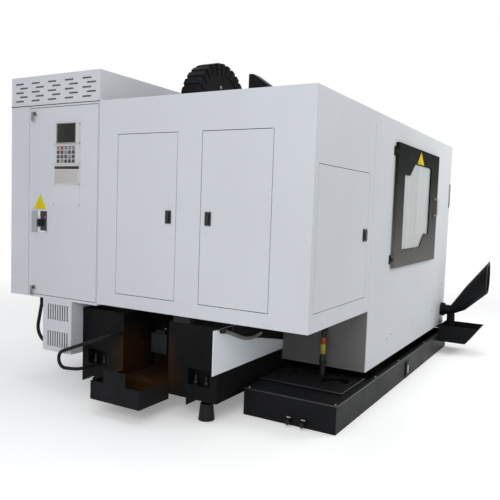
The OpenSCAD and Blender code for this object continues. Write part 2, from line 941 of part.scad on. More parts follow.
module right_side_panel() {
    color(paint) long_panel(x_right - sheet_t, -1);
}

front_open_x = [-front_w / 2, front_w / 2];
front_in = [case_d - sheet_t - front_t - run_gap, case_d - sheet_t - run_gap];

module front_panel() {
    color(paint) difference() {
        block([x_left + sheet_t, x_right - sheet_t], [case_d - sheet_t, case_d], [skirt_z, roof_z]);
        block(front_open_x, [case_d - sheet_t - over, case_d + over], [front_z, front_z + front_h]);
    }
}

module door_rails() {
    low = front_z - front_lap - run_gap;
    high = front_z + front_h + front_lap + run_gap;
    rails_x = [front_open_x[0] - 2 * front_lap, front_open_x[1] + front_lap + front_travel + rail_bar];
    color(steel)
        for (z = [low - rail_bar, high]) {
            block(rails_x, [case_d - sheet_t - front_t - rail_bar, case_d - sheet_t], [z, z + rail_bar]);
            lip = z < front_z ? z + rail_bar : z - rail_bar;
            block(rails_x, [case_d - sheet_t - front_t - rail_bar, front_in[0] - run_gap],
                [lip, lip + rail_bar]);
        }
}

module front_door() {
    x0 = front_open_x[0] - front_lap;
    x1 = front_open_x[1] + front_lap;
    grip_x = front_open_x[0] + pane_in / 2;
    color(paint) {
        difference() {
            block([x0, x1], front_in, [front_z - front_lap, front_z + front_h + front_lap]);
            front_glass(over);
        }
        for (z = [grip_low, grip_high])
            rod_y(grip_x, [front_in[1], case_d + handle_out - handle_r], z, handle_r - slide_gap);
        rod_z(grip_x, case_d + handle_out - handle_r,
            [grip_low - pane_in / 4, grip_high + pane_in / 4], handle_r);
    }
}

module front_glass(extra) {
    mid = (front_in[0] + front_in[1]) / 2;
    block([front_open_x[0] + pane_in, front_open_x[1] - pane_in / 2],
        extra > 0 ? [front_in[0] - extra, front_in[1] + extra] : [mid - pane_t / 2, mid + pane_t / 2],
        [front_z + 2 * pane_in, front_z + front_h - pane_in / 2]);
}

module front_pane() {
    color("lightblue", 0.5) front_glass(0);
}

open_half = column_w / 2 + 2 * fold_w + chain_w;

module bulkhead() {
    color(iron) difference() {
        block([x_left + sheet_t, x_right - sheet_t], [guard_d - sheet_t, guard_d], [skirt_z, roof_z]);
        block([-bed_w / 2, bed_w / 2], [guard_d - sheet_t - over, guard_d + over], [skirt_z - over, guard_z]);
        block([-open_half, open_half], [guard_d - sheet_t - over, guard_d + over],
            [bed_top - over, roof_z + over]);
    }
}

module chip_pan() {
    color(iron) difference() {
        block([x_left + sheet_t, x_right - sheet_t], [guard_d, case_d - sheet_t], [skirt_z, skirt_z + sheet_t]);
        block([-bed_w / 2, bed_w / 2], [guard_d - over, bed_d + bed_l],
            [skirt_z - over, skirt_z + sheet_t + over]);
    }
}

module skirt_panel() {
    outline = [[skirt_d, skirt_low], [guard_d - sheet_t, skirt_low], [guard_d - sheet_t, skirt_high],
        [skirt_d, skirt_high]];
    color(paint) side_plate([-bed_w / 2 - sheet_t, -bed_w / 2], outline);
}

// Electrical cabinet
module cabinet_shell() {
    color(paint) {
        difference() {
            block([x_cabinet, x_right], [0, cabinet_l], [cabinet_z, roof_z]);
            block([x_cabinet + sheet_t, x_right - sheet_t], [sheet_t, cabinet_l - sheet_t],
                [cabinet_z + sheet_t, roof_z - sheet_t]);
            at_cabinet_door() leaf_cut(cabinet_door_w, cabinet_door_h);
        }
        at_cabinet_door() leaf_lugs(cabinet_door_w, cabinet_door_h);
    }
}

module cabinet_hood() {
    inner = x_right - sheet_t;
    color(paint) difference() {
        block([x_cabinet, x_right], [0, cabinet_l], [roof_z, roof_z + hood_h]);
        block([x_cabinet + sheet_t, inner], [sheet_t, cabinet_l - sheet_t],
            [roof_z - over, roof_z + hood_h - sheet_t]);
        for (row = [0 : slot_rows - 1])
            for (i = [0 : hood_slots - 1]) {
                start = x_cabinet + fold_w + (1 - row % 2) * slot_pitch / 4 + i * slot_pitch;
                z = roof_z + hood_slot_z + row * row_pitch;
                block([start, start + slot_l], [-over, sheet_t + over], [z - slot_h / 2, z + slot_h / 2]);
                side = 2 * slot_l + i * slot_pitch;
                block([inner - over, x_right + over], [side, side + slot_l], [z - slot_h / 2, z + slot_h / 2]);
            }
    }
}

module cabinet_door() {
    color(paint) {
        at_cabinet_door() difference() {
            leaf_sheet(cabinet_door_w, cabinet_door_h);
            for (z = lock_zs)
                translate([cabinet_door_w - lock_in, over, z - cabinet_z - cabinet_door_in])
                    rotate([90, 0, 0]) cylinder(h = sheet_t + 2 * over, r = lock_r + run_gap);
        }
        difference() {
            block([switch_x - switch_w / 2, switch_x + switch_w / 2], [-plate_t, 0],
                [switch_z - switch_h / 2, switch_z + switch_h / 2]);
            rod_y(handle_x, [-plate_t - over, plate_t], handle_z, shaft_r + run_gap);
        }
    }
}

lock_zs = [lock_top_z, lock_low_z];
lock_x = x_cabinet + cabinet_door_x + cabinet_door_w - lock_in;
handle_x = switch_x - switch_w / 12;
handle_z = switch_z - switch_h / 20;

module switch_handle() {
    color(black) {
        rod_y(handle_x, [-plate_t - run_gap - knob_t, -plate_t - run_gap], handle_z, switch_r);
        rod_y(handle_x, [-plate_t - run_gap, -run_gap], handle_z, shaft_r);
        block([handle_x - knob_t / 2, handle_x + knob_t / 2],
            [-plate_t - 2 * knob_t, -plate_t - run_gap - knob_t], [handle_z - switch_r, handle_z + switch_r]);
    }
}

// Lock barrel with its key and fob
module lock(z) {
    color(steel) {
        rod_y(lock_x, [-knob_t, sheet_t + knob_t], z, lock_r);
        block([lock_x - key_t / 2, lock_x + key_t / 2], [-2 * knob_t, -knob_t],
            [z - key_w / 2, z + key_w / 2]);
        block([lock_x - key_w / 2, lock_x + key_w / 2], [-2 * knob_t, -2 * knob_t + key_t],
            [z - key_w / 2 - key_l, z + key_w / 2]);
        block([lock_x - lock_r, lock_x + lock_r], [sheet_t + knob_t, sheet_t + knob_t + key_t],
            [z - lock_r, z + cam_l]);
    }
}

module lock_top() {
    lock(lock_zs[0]);
}

module lock_low() {
    lock(lock_zs[1]);
}

// Front of the control
module control_row(z, t) {
    block([control_x - bezel_w / 2, control_x + bezel_w / 2], [-sheet_t - t, -sheet_t], z);
}

module control_unit() {
    screen_z = control_z + 3 * rack_h + slot_h;
    keys_z = control_z + 2 * rack_h + slot_h;
    screen_low = screen_z + (rack_h - screen_h) / 2;
    keys_x = control_x - (key_cols - 1) * key_pitch / 2 - key_size / 2;
    color(paint) {
        block([control_x - control_w / 2, control_x + control_w / 2], [-sheet_t, 0],
            [control_z, control_z + control_h]);
        difference() {
            control_row([screen_z, screen_z + rack_h], bezel_t);
            block([control_x - screen_w / 2, control_x + screen_w / 2],
                [-sheet_t - bezel_t - over, -sheet_t - bezel_t / 2], [screen_low, screen_low + screen_h]);
        }
        control_row([keys_z, keys_z + rack_h - slot_h], bezel_t / 2);
        control_row([control_z + rack_h + slot_h, keys_z - 3 * slot_h], bezel_t / 2);
    }
    color(iron)
        for (col = [0 : key_cols - 1])
            for (row = [0 : key_rows - 1]) {
                x = keys_x + col * key_pitch;
                z = keys_z + key_gap + row * (key_h + key_gap);
                block([x, x + key_size], [-sheet_t - bezel_t, -sheet_t - bezel_t / 2], [z, z + key_h]);
            }
}

trafo_x = bed_w / 2 + trafo_gap;
trafo_side = trafo_x + trafo_w;

module transformer_box() {
    low = cabinet_z - trafo_h;
    pitch = (trafo_w - 2 * fold_w) / trafo_slots;
    color(paint) difference() {
        block([trafo_x, trafo_side], [0, trafo_d], [low, cabinet_z]);
        block([trafo_x + sheet_t, trafo_side - sheet_t], [sheet_t, trafo_d - sheet_t],
            [low + sheet_t, cabinet_z - sheet_t]);
        for (i = [0 : trafo_slots - 1])
            for (z = [low + fold_w, cabinet_z - fold_w - trafo_slot_h])
                block([trafo_x + fold_w + i * pitch, trafo_x + fold_w + i * pitch + slot_h],
                    [-over, sheet_t + over], [z, z + trafo_slot_h]);
    }
}

module drive_rack() {
    inner = [x_cabinet + sheet_t, x_right - sheet_t];
    first_z = cabinet_z + 6 * fold_w;
    color(steel) {
        block(inner, [rack_d, rack_d + sheet_t], [cabinet_z + 3 * fold_w, roof_z - 3 * fold_w]);
        for (i = [0 : drives - 1])
            for (z = [first_z, first_z + drive_h + 3 * fold_w]) {
                x = inner[0] + 2 * fold_w + i * (drive_w + fold_w);
                block([x, x + drive_w], [rack_d - drive_l, rack_d], [z, z + drive_h]);
            }
    }
}

// Hinged leaves of the enclosure
module hinged_leaf(w, h, latch_at) {
    difference() {
        leaf_sheet(w, h);
        latch_hole(w, latch_at);
    }
}

module rear_door_a() {
    color(paint) at_rear_door_a() hinged_leaf(rear_door_w, rear_door_h, latch_z - rear_door_z);
}

module rear_door_b() {
    color(paint) at_rear_door_b() hinged_leaf(rear_door_w, rear_door_h, latch_z - rear_door_z);
}

module side_door() {
    color(paint) at_side_door() hinged_leaf(side_door_w, side_door_h, side_latch_z - side_door_z);
}

module latch_a() {
    color(black) at_rear_door_a() translate([rear_door_w - latch_in, 0, latch_z - rear_door_z]) latch(latch_w);
}

module latch_b() {
    color(black) at_rear_door_b() translate([rear_door_w - latch_in, 0, latch_z - rear_door_z]) latch(latch_w);
}

module side_latch() {
    color(black) at_side_door()
        translate([side_door_w - latch_in, 0, side_latch_z - side_door_z]) latch(side_latch_w);
}

// Window door, hung outside the left side panel
win_x = x_left - run_gap;
win_out = win_x - win_t;
win_axis_x = x_left - win_t / 2;
win_axis_d = win_d - knuckle_r - run_gap;
third = win_hinge_l / 3;
win_hinge_zs = [win_z + win_hinge_in, win_z + win_h - win_hinge_in - win_hinge_l];
glass_d = win_d + glass_in;
glass_z = win_z + glass_up;
glass_w = win_w - glass_in - glass_front;
glass_h = win_h - glass_up - glass_top;
glass_step = [146, 134, 100];
glass_foot = [137, 131, 106];

// Pane outline with two corners stepped on a slant
function glass_outline() = [
    [glass_d, glass_z],
    [glass_d + glass_w - glass_foot[0] - glass_foot[1], glass_z],
    [glass_d + glass_w - glass_foot[0], glass_z + glass_foot[2]],
    [glass_d + glass_w, glass_z + glass_foot[2]],
    [glass_d + glass_w, glass_z + glass_h],
    [glass_d + glass_step[0] + glass_step[1], glass_z + glass_h],
    [glass_d + glass_step[0], glass_z + glass_h - glass_step[2]],
    [glass_d, glass_z + glass_h - glass_step[2]]
];

module window_door() {
    color(black) {
        difference() {
            side_plate([win_out, win_x], [[win_d, win_z], [win_d + win_w, win_z],
                [win_d + win_w, win_z + win_h], [win_d, win_z + win_h]]);
            side_plate([win_out - over, win_x + over], glass_outline());
        }
        for (hinge_z = win_hinge_zs)
            for (part = [0, 2]) {
                z = [hinge_z + part * third + run_gap, hinge_z + (part + 1) * third - run_gap];
                difference() {
                    union() {
                        rod_z(win_axis_x, win_axis_d, z, knuckle_r);
                        block([win_axis_x - knuckle_r / 2, win_axis_x + knuckle_r / 2],
                            [win_axis_d, win_d + over], z);
                    }
                    rod_z(win_axis_x, win_axis_d, [z[0] - over, z[1] + over], hinge_pin_r + run_gap);
                }
            }
    }
}

module window_pane() {
    middle = (win_out + win_x) / 2;
    color("lightblue", 0.5) side_plate([middle - pane_t / 2, middle + pane_t / 2], glass_outline());
}

win_grip_zs = [win_grip_low, win_grip_low + win_grip_l];

module window_handle() {
    d = win_d + win_w - win_grip_in;
    reach = win_out - win_grip_out;
    bar_r = handle_r * 3 / 4;
    color(black) {
        for (z = win_grip_zs)
            rod_x([reach, win_out], d, z, bar_r);
        rod_z(reach, d, [win_grip_zs[0] - bar_r, win_grip_zs[1] + bar_r], bar_r);
    }
}

module window_hinges() {
    color(iron)
        for (z = win_hinge_zs) {
            rod_z(win_axis_x, win_axis_d, [z + third, z + 2 * third], knuckle_r);
            rod_z(win_axis_x, win_axis_d, [z, z + win_hinge_l], hinge_pin_r);
            block([win_axis_x - knuckle_r / 2, x_left], [win_axis_d - knuckle_r, win_axis_d],
                [z + third, z + 2 * third]);
            block([x_left - sheet_t, x_left], [win_axis_d - 4 * knuckle_r, win_axis_d - knuckle_r + over],
                [z, z + win_hinge_l]);
        }
}

// Cross slides
front_of_column = column_d + column_l;
saddle_z = bed_top + rail_h + run_gap;
saddle_rear = front_of_column + rail_h + y_travel + fold_w;
saddle_d = [saddle_rear, saddle_rear + saddle_l];
table_mid_d = (saddle_d[0] + saddle_d[1]) / 2;
table_z = saddle_z + saddle_t + rib_h + x_rail_h + run_gap;

module saddle() {
    rib = rail_w + 2 * rib_in;
    color(iron) difference() {
        union() {
            block([-saddle_w / 2, saddle_w / 2], saddle_d, [saddle_z, saddle_z + saddle_t]);
            for (d = [table_mid_d - table_rail_in, table_mid_d + table_rail_in])
                block([-saddle_w / 2, saddle_w / 2], [d - rib / 2, d + rib / 2],
                    [saddle_z + saddle_t, saddle_z + saddle_t + rib_h]);
            for (x = [-x_screw_reach, x_screw_reach - bearing_l / 2])
                block([x, x + bearing_l / 2], [table_mid_d - bearing_w / 2, table_mid_d + bearing_w / 2],
                    [saddle_z + saddle_t, x_axis_z + bearing_w / 2]);
            block([-nut_w / 2, nut_w / 2], [table_mid_d - nut_w, table_mid_d + nut_w],
                [y_axis_z - nut_w / 2, saddle_z]);
        }
        rod_y(0, [saddle_d[0] - over, saddle_d[1] + over], y_axis_z, screw_r + run_gap);
        rod_x([-saddle_w, saddle_w], table_mid_d, x_axis_z, screw_r + run_gap);
    }
}

module x_rails() {
    color(steel)
        for (d = [table_mid_d - table_rail_in, table_mid_d + table_rail_in])
            block([-saddle_w / 2, saddle_w / 2], [d - rail_w / 2, d + rail_w / 2],
                [saddle_z + saddle_t + rib_h, table_z - run_gap]);
}

module x_motor() {
    color(iron) translate([x_mid + saddle_w / 2, y_rear - table_mid_d, x_axis_z])
        rotate([0, 90, 0]) servo(small_motor_w, small_motor_w);
}

module table() {
    slot_z = table_z + table_t;
    color(steel) {
        difference() {
            block([-table_w / 2, table_w / 2], [table_mid_d - table_l / 2, table_mid_d + table_l / 2],
                [table_z, slot_z]);
            for (i = [-1 : 1]) {
                d = table_mid_d + i * tee_pitch;
                block([-table_w / 2 - over, table_w / 2 + over], [d - tee_w / 2, d + tee_w / 2],
                    [slot_z - tee_foot, slot_z + over]);
                block([-table_w / 2 - over, table_w / 2 + over], [d - tee_foot / 2, d + tee_foot / 2],
                    [slot_z - tee_foot, slot_z - tee_w]);
            }
        }
        difference() {
            block([-nut_w / 2, nut_w / 2], [table_mid_d - nut_w / 2, table_mid_d + nut_w / 2],
                [x_axis_z - nut_w / 2, table_z]);
            rod_x([-nut_w, nut_w], table_mid_d, x_axis_z, screw_r + run_gap);
        }
    }
}

// Head, spindle and their drive
head_low = nose_z + nose_h;
head_top = head_low + head_h;
carriage_d = front_of_column + rail_h + run_gap;

module spindle_head() {
    color(paint) difference() {
        union() {
            block([-column_w / 2 + rail_h / 2, column_w / 2 - rail_h / 2],
                [carriage_d, carriage_d + carriage_t], [head_low - rail_w, head_top + rail_w]);
            block([-head_w / 2, head_w / 2], [carriage_d + carriage_t, spindle_d], [head_low, head_top]);
            rod_z(0, spindle_d, [head_low, head_top], head_w / 2);
            rod_z(0, spindle_d, [nose_z + nose_flange + run_gap, head_low], nose_r);
            block([-nut_w / 2, nut_w / 2], [front_of_column + slide_gap, carriage_d],
                [head_low + nut_w, head_low + 3 * nut_w]);
        }
        rod_z(0, spindle_d, [nose_z - over, head_top + over], spindle_r + run_gap);
        rod_z(0, z_screw_d, [head_low, head_low + 4 * nut_w], screw_r + run_gap);
    }
}

module spindle() {
    color(steel) difference() {
        union() {
            rod_z(0, spindle_d, [nose_z, head_top - run_gap], spindle_r);
            rod_z(0, spindle_d, [nose_z, nose_z + nose_flange], spindle_flange_r);
        }
        translate([x_mid, y_rear - spindle_d, nose_z - over])
            cylinder(h = taper_h, r1 = taper_r, r2 = taper_end_r);
    }
}

module spindle_motor() {
    color(black) {
        rod_z(0, spindle_d, [head_top, head_top + spindle_motor_h], spindle_motor_r);
        block([-spindle_motor_r, spindle_motor_r], [spindle_d - spindle_motor_r, spindle_d + spindle_motor_r],
            [head_top, head_top + motor_flange]);
        for (i = [1 : motor_fins]) {
            z = head_top + motor_flange * i + slot_h;
            rod_z(0, spindle_d, [z, z + slot_h], spindle_motor_r + slot_h);
        }
    }
}

// Cable chain: a band bent over the column's side, with raised links
chain_x = [-column_w / 2 - chain_gap - chain_w, -column_w / 2 - chain_gap];
chain_axis_d = chain_d + chain_r;
chain_rear_end = chain_z - z_travel / 2 - chain_rear_l;
chain_front_end = chain_z - z_travel / 2 - chain_front_l;
link_pitch = PI * (chain_r - chain_t / 2) / bend_links;

module chain_leg(d, low) {
    links = floor((chain_z - low) / link_pitch);
    block([chain_x[0] + link_in, chain_x[1] - link_in], [d + link_in, d + chain_t - link_in], [low, chain_z]);
    for (i = [0 : links - 1]) {
        z = chain_z - (i + 0.5) * link_pitch;
        block(chain_x, [d, d + chain_t], [z - link_l / 2, z + link_l / 2]);
    }
}

module cable_chain() {
    color(black) {
        translate([x_mid + chain_x[0], y_rear - chain_axis_d, chain_z])
            rotate([0, 90, 0]) rotate([0, 0, 90])
                rotate_extrude(angle = 180)
                    translate([chain_r - chain_t + link_in, link_in])
                        square([chain_t - 2 * link_in, chain_w - 2 * link_in]);
        for (i = [0 : bend_links - 1])
            translate([x_mid + chain_x[0], y_rear - chain_axis_d, chain_z])
                rotate([(i + 0.5) * 180 / bend_links, 0, 0])
                    translate([0, chain_r - chain_t, -link_l / 2]) cube([chain_w, chain_t, link_l]);
        chain_leg(chain_d, chain_rear_end);
        chain_leg(chain_d + 2 * chain_r - chain_t, chain_front_end);
    }
}

guide_top = chain_z - z_travel / 2 - fold_w;

// Open channel that guards a leg of the chain
module guide(d, z) {
    outer_x = [chain_x[0] - guide_gap - sheet_t, chain_x[1] + guide_gap + sheet_t];
    outer_d = [d - guide_gap - sheet_t, d + chain_t + guide_gap + sheet_t];
    difference() {
        block(outer_x, outer_d, z);
        block([chain_x[0] - guide_gap, chain_x[1] + guide_gap], [d - guide_gap, d + chain_t + guide_gap],
            [z[0] - over, z[1] + over]);
    }
}

module chain_trough() {
    color(iron) {
        guide(chain_d, [bed_top, guide_top]);
        block([chain_x[0], chain_x[1]], [chain_d + chain_t + guide_gap + sheet_t, column_d],
            [guide_top - 2 * fold_w, guide_top - 2 * fold_w + sheet_t]);
        block([chain_x[0], -column_w / 2 + column_t], [column_d - sheet_t, column_d],
            [guide_top - 3 * fold_w, guide_top]);
    }
}

arm_z = [head_low + fold_w, chain_z - 2 * fold_w];

module chain_arm() {
    front_leg = chain_d + 2 * chain_r - chain_t;
    arm_x = [chain_x[1] + guide_gap, chain_x[1] + guide_gap + sheet_t];
    color(iron) {
        guide(front_leg, arm_z);
        block(arm_x, [front_leg + chain_t + guide_gap + sheet_t, carriage_d + carriage_t], arm_z);
        block([arm_x[1], -column_w / 2 + rail_h / 2], [carriage_d, carriage_d + carriage_t], arm_z);
    }
}

// Junction box with a sloping lid
module junction_box() {
    x1 = -column_w / 2;
    color(black)
        translate([x_mid, y_rear - box_d, 0])
            rotate([90, 0, 0])
                linear_extrude(box_l)
                    polygon([[x1 - box_w, box_low], [x1, box_low], [x1, box_high],
                        [x1 - fold_w, box_high], [x1 - box_w, box_high - box_slope]]);
}

// Coolant tank
tank_x = [x_left - tank_out, -bed_w / 2 - tank_gap];
tank_end = case_d - tank_in;
stub_xs = [tank_x[0] + stub_in, tank_x[0] + stub_in + stub_pitch];

module coolant_tank() {
    color(black) {
        difference() {
            block(tank_x, [tank_d, tank_end], [0, tank_h]);
            block([tank_x[0] + sheet_t, tank_x[1] - sheet_t], [tank_d + sheet_t, tank_end - sheet_t],
                [sheet_t, tank_h + over]);
        }
        for (side = [[tank_x[0] + sheet_t, tank_x[0] + fold_w], [tank_x[1] - fold_w, tank_x[1] - sheet_t]])
            block(side, [tank_d + sheet_t, tank_end - sheet_t], [tank_h - sheet_t, tank_h]);
        block([tank_x[0] + fold_w, tank_x[1] - fold_w], [tank_d + sheet_t, lid_d], [tank_h - sheet_t, tank_h]);
        block([tank_x[0] - bolt_r, tank_x[0]], [gauge_d, gauge_d + gauge_w],
            [fold_w / 2, fold_w / 2 + gauge_h]);
        for (x = stub_xs)
            rod_y(x, [tank_d - stub_l, tank_d], 2 * stub_r, stub_r);
    }
}

lid_d = tank_d + lid_in;
lid_x = [tank_x[0] + lid_side, tank_x[0] + lid_side + lid_w];
pump_x = lid_x[0] + pump_in;
pump_d = lid_d + pump_ahead;
filler_x = lid_x[1] - filler_in;

module tank_cover() {
    color(black) difference() {
        union() {
            block([tank_x[0] + fold_w, tank_x[1] - fold_w], [lid_d, lid_d + lid_l + fold_w],
                [tank_h - sheet_t, tank_h]);
            block(lid_x, [lid_d, lid_d + lid_l], [tank_h, tank_h + lid_h]);
        }
        rod_z(pump_x, pump_d, [tank_h - 2 * sheet_t, tank_h + lid_h + over], pump_r);
        rod_z(filler_x, pump_d, [tank_h, tank_h + lid_h + over], filler_r);
    }
}

module coolant_pump() {
    color(iron) {
        rod_z(pump_x, pump_d, [sheet_t, tank_h / 2], impeller_r);
        rod_z(pump_x, pump_d, [tank_h / 2, tank_h - 2 * sheet_t], pump_body_r);
        rod_z(pump_x, pump_d, [tank_h - 2 * sheet_t, tank_h + lid_h / 2], pump_cap_r);
    }
}

module coolant_pipe() {
    base = tank_h + lid_h;
    color(black) {
        rod_z(pipe_x, pipe_d, [base, base + union_h], union_r);
        rod_z(pipe_x, pipe_d, [base + union_h, pipe_top], pipe_r);
        translate([x_mid + pipe_x, y_rear - pipe_d - pipe_bend, pipe_top])
            rotate([90, 0, 90])
                rotate_extrude(angle = 90) translate([pipe_bend, 0]) circle(r = pipe_r);
        rod_y(pipe_x, [pipe_d + pipe_bend, guard_d - sheet_t], pipe_top + pipe_bend, pipe_r);
    }
}

// Chip tray on the tank's side, its outer wall leaning outwards
module tray_form(in, low) {
    translate([x_mid + tank_x[0], y_rear - tank_end + tray_l - in, 0])
        rotate([90, 0, 0])
            linear_extrude(tray_l - 2 * in)
                polygon([[-in, tray_z + in], [in - tray_foot, tray_z + in],
                    [in - tray_w, tray_z + tray_h + low], [-in, tray_z + tray_h + low]]);
}

module chip_tray() {
    color(black) difference() {
        tray_form(0, 0);
        tray_form(sheet_t, over);
    }
}

// Chip auger across the front
auger_d = case_d - auger_in;
auger_end = x_right - sheet_t - 2 * small_motor_w;

module auger_tube() {
    inner = auger_r - auger_wall;
    cut_half = inner * 4 / 5;
    color(iron) difference() {
        union() {
            rod_x([x_left - auger_out, auger_end], auger_d, auger_z, auger_r);
            rod_x([x_left - fold_w, x_left], auger_d, auger_z, auger_r + fold_w / 2);
        }
        rod_x([x_left - auger_out - over, auger_end - auger_wall], auger_d, auger_z, inner);
        block([x_left + 2 * fold_w, auger_end - 2 * fold_w], [auger_d - cut_half, auger_d + cut_half],
            [auger_z, auger_z + 2 * auger_r]);
        rod_x([auger_end - 2 * auger_wall, auger_end + over], auger_d, auger_z, screw_r + run_gap);
    }
}

module auger() {
    reach = [x_left - auger_out, auger_end - auger_wall - run_gap];
    flight_r = auger_r - auger_wall - slide_gap;
    color(steel) {
        rod_x([reach[0], auger_end + motor_flange - run_gap], auger_d, auger_z, screw_r);
        translate([x_mid + reach[0], y_rear - auger_d, auger_z])
            rotate([0, 90, 0])
                linear_extrude(height = reach[1] - reach[0], twist = 360 * flight_turns,
                    slices = flight_turns * flight_steps, segments = 8)
                    translate([0, -flight_t / 2]) square([flight_r, flight_t]);
    }
}

// Chute: an oval tube that widens over a bend to its mouth
chute_x = x_left - auger_out - collar;

module oval(x, z, h, w, grow) {
    translate([x_mid + x, y_rear - auger_d, z + h / 2])
        rotate([0, 90, 0]) scale([h / 2 + grow, w / 2 + grow, 1]) cylinder(h = over, r = 1);
}

module chute_form(grow) {
    bend_w = (2 * auger_r + mouth_w) / 2;
    hull() {
        oval(chute_x, auger_z - auger_r, 2 * auger_r, 2 * auger_r, grow);
        oval(x_left - bend_out, bend_z, bend_h, bend_w, grow);
    }
    hull() {
        oval(x_left - bend_out, bend_z, bend_h, bend_w, grow);
        oval(x_left - chute_out, mouth_z, mouth_h, mouth_w, grow);
    }
}

module chip_chute() {
    post_x = x_left - auger_out - over - post_r;
    color(black) {
        difference() {
            chute_form(0);
            translate([-over, 0, 0]) chute_form(-sheet_t);
            translate([over, 0, 0]) chute_form(-sheet_t);
        }
        difference() {
            rod_x([chute_x + over, x_left - auger_out], auger_d, auger_z, auger_r);
            rod_x([chute_x, x_left - auger_out + over], auger_d, auger_z, auger_r - auger_wall);
        }
        difference() {
            rod_z(post_x, auger_d, [tray_z + sheet_t, auger_z - auger_r * 2 / 3], post_r);
            rod_x([chute_x - 2 * post_r, x_left], auger_d, auger_z, auger_r - auger_wall / 2);
        }
    }
}

// Hoses: straight legs of x, d and z with round bends
hose_sides = 10;
hose_ref = [0.5, 0.7, 0.5];
supply_corners = [[supply_x, supply_d, cabinet_z], [supply_x, supply_d, cabinet_z - supply_drop],
    [trafo_side + supply_out, supply_d, supply_z], [trafo_side, supply_d, supply_z]];
cable_start = trench_w / 2 + motor_cable_r;
cable_end = pocket_x + fold_w;
cable_back_z = cable_low + fold_w / 2;
motor_corners = [[cable_start, bed_d, cable_z], [cable_start, -cable_out, cable_z],
    [cable_x, -cable_out, cable_z - cable_fall], [cable_x, -cable_out, cable_low],
    [cable_end, -cable_out, cable_back_z], [cable_end, bed_d, cable_back_z]];

function unit(v) = v / norm(v);

// Points of the round bend at corner i of the route p
function bend(p, i, r) =
    let (back = unit(p[i - 1] - p[i]), ahead = unit(p[i + 1] - p[i]), half = acos(back * ahead) / 2,
        inward = unit(back + ahead), sideways = unit(ahead - back), centre = p[i] + inward * r / sin(half))
    [for (s = [0 : bend_steps])
        let (turn = (180 - 2 * half) * (s / bend_steps - 0.5))
        centre + r * (sin(turn) * sideways - cos(turn) * inward)];

function hose_path(p, r) = concat(
    [p[0]], [for (i = [1 : len(p) - 2]) each bend(p, i, r)], [p[len(p) - 1]]);

module hose(corners, r, bend_r) {
    path = [for (p = hose_path(corners, bend_r)) [x_mid + p[0], y_rear - p[1], p[2]]];
    last = len(path) - 1;
    rings = [for (i = [0 : last])
        let (along = path[min(i + 1, last)] - path[max(i - 1, 0)],
            across = cross(along, hose_ref) / norm(cross(along, hose_ref)),
            up = cross(along, across) / norm(along))
        for (k = [0 : hose_sides - 1])
            let (turn = 360 * k / hose_sides)
            path[i] + r * (cos(turn) * across + sin(turn) * up)];
    skin = [for (i = [0 : last - 1]) for (k = [0 : hose_sides - 1])
        let (n = (k + 1) % hose_sides)
        [i * hose_sides + k, (i + 1) * hose_sides + k, (i + 1) * hose_sides + n, i * hose_sides + n]];
    caps = [[for (k = [0 : hose_sides - 1]) k], [for (k = [hose_sides - 1 : -1 : 0]) last * hose_sides + k]];
    polyhedron(rings, concat(skin, caps));
}

module supply_hose() {
    color(black) hose(supply_corners, supply_r, supply_bend);
}

module motor_hose() {
    color(black) hose(motor_corners, motor_cable_r, motor_bend);
}

base_casting();
levelling_feet();
drip_trough();
axis_motors();
guide_rails();
y_screw();
column();
z_screw();
junction_box();
chain_trough();
bulkhead();
chip_pan();
rear_panel();
left_guard_panel();
left_side_panel();
right_side_panel();
front_panel();
door_rails();
skirt_panel();
cabinet_shell();
cabinet_hood();
transformer_box();
drive_rack();
coolant_tank();
tank_cover();
coolant_pump();
coolant_pipe();
chip_tray();
auger_tube();
chip_chute();
auger();
supply_hose();
motor_hose();
saddle();
x_rails();
x_motor();
x_screw();
table();
spindle_head();
spindle();
spindle_motor();
chain_arm();
cable_chain();
front_door();
front_pane();
window_door();
window_pane();
window_handle();
window_hinges();
rear_door_a();
rear_door_b();
side_door();
latch_a();
latch_b();
side_latch();
cabinet_door();
control_unit();
switch_handle();
lock_top();
lock_low();
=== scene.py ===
import math

import bmesh
import bpy
from mathutils import Matrix, Vector


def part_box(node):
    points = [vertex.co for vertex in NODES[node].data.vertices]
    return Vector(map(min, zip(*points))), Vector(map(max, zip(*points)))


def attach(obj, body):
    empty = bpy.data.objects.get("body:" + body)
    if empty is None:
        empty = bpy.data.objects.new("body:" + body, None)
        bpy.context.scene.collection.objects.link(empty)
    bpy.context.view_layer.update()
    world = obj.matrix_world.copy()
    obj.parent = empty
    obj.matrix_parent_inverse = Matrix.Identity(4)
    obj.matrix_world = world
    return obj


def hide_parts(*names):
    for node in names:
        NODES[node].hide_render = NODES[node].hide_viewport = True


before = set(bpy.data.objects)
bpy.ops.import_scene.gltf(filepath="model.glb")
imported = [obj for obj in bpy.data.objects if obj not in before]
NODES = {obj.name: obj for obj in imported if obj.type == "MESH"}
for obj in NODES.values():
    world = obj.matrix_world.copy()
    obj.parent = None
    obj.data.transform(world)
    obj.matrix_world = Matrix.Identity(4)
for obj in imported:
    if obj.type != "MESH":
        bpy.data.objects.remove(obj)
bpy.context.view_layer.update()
SCENE = bpy.context.scene

# Places are in millimetres, as in the part's source: x from the machine's centre plane,
# d from its rear face towards the operator, z from the floor.
MM = 0.001
REAR_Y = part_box("rear_panel")[1].y
LEFT_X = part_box("left_side_panel")[0].x
MID_X = (LEFT_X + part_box("right_side_panel")[1].x) / 2


def at(x, d, z):
    """A place on the machine as a point in metres."""
    return Vector((MID_X + x * MM, REAR_Y - d * MM, z * MM))


# Directions on the machine
OUT_REAR = Vector((0, 1, 0))
OUT_FRONT = Vector((0, -1, 0))
OUT_LEFT = Vector((-1, 0, 0))
OUT_RIGHT = Vector((1, 0, 0))
UP = Vector((0, 0, 1))


# Camera at the photograph's angle: place in metres, turns in radians, lens in millimetres

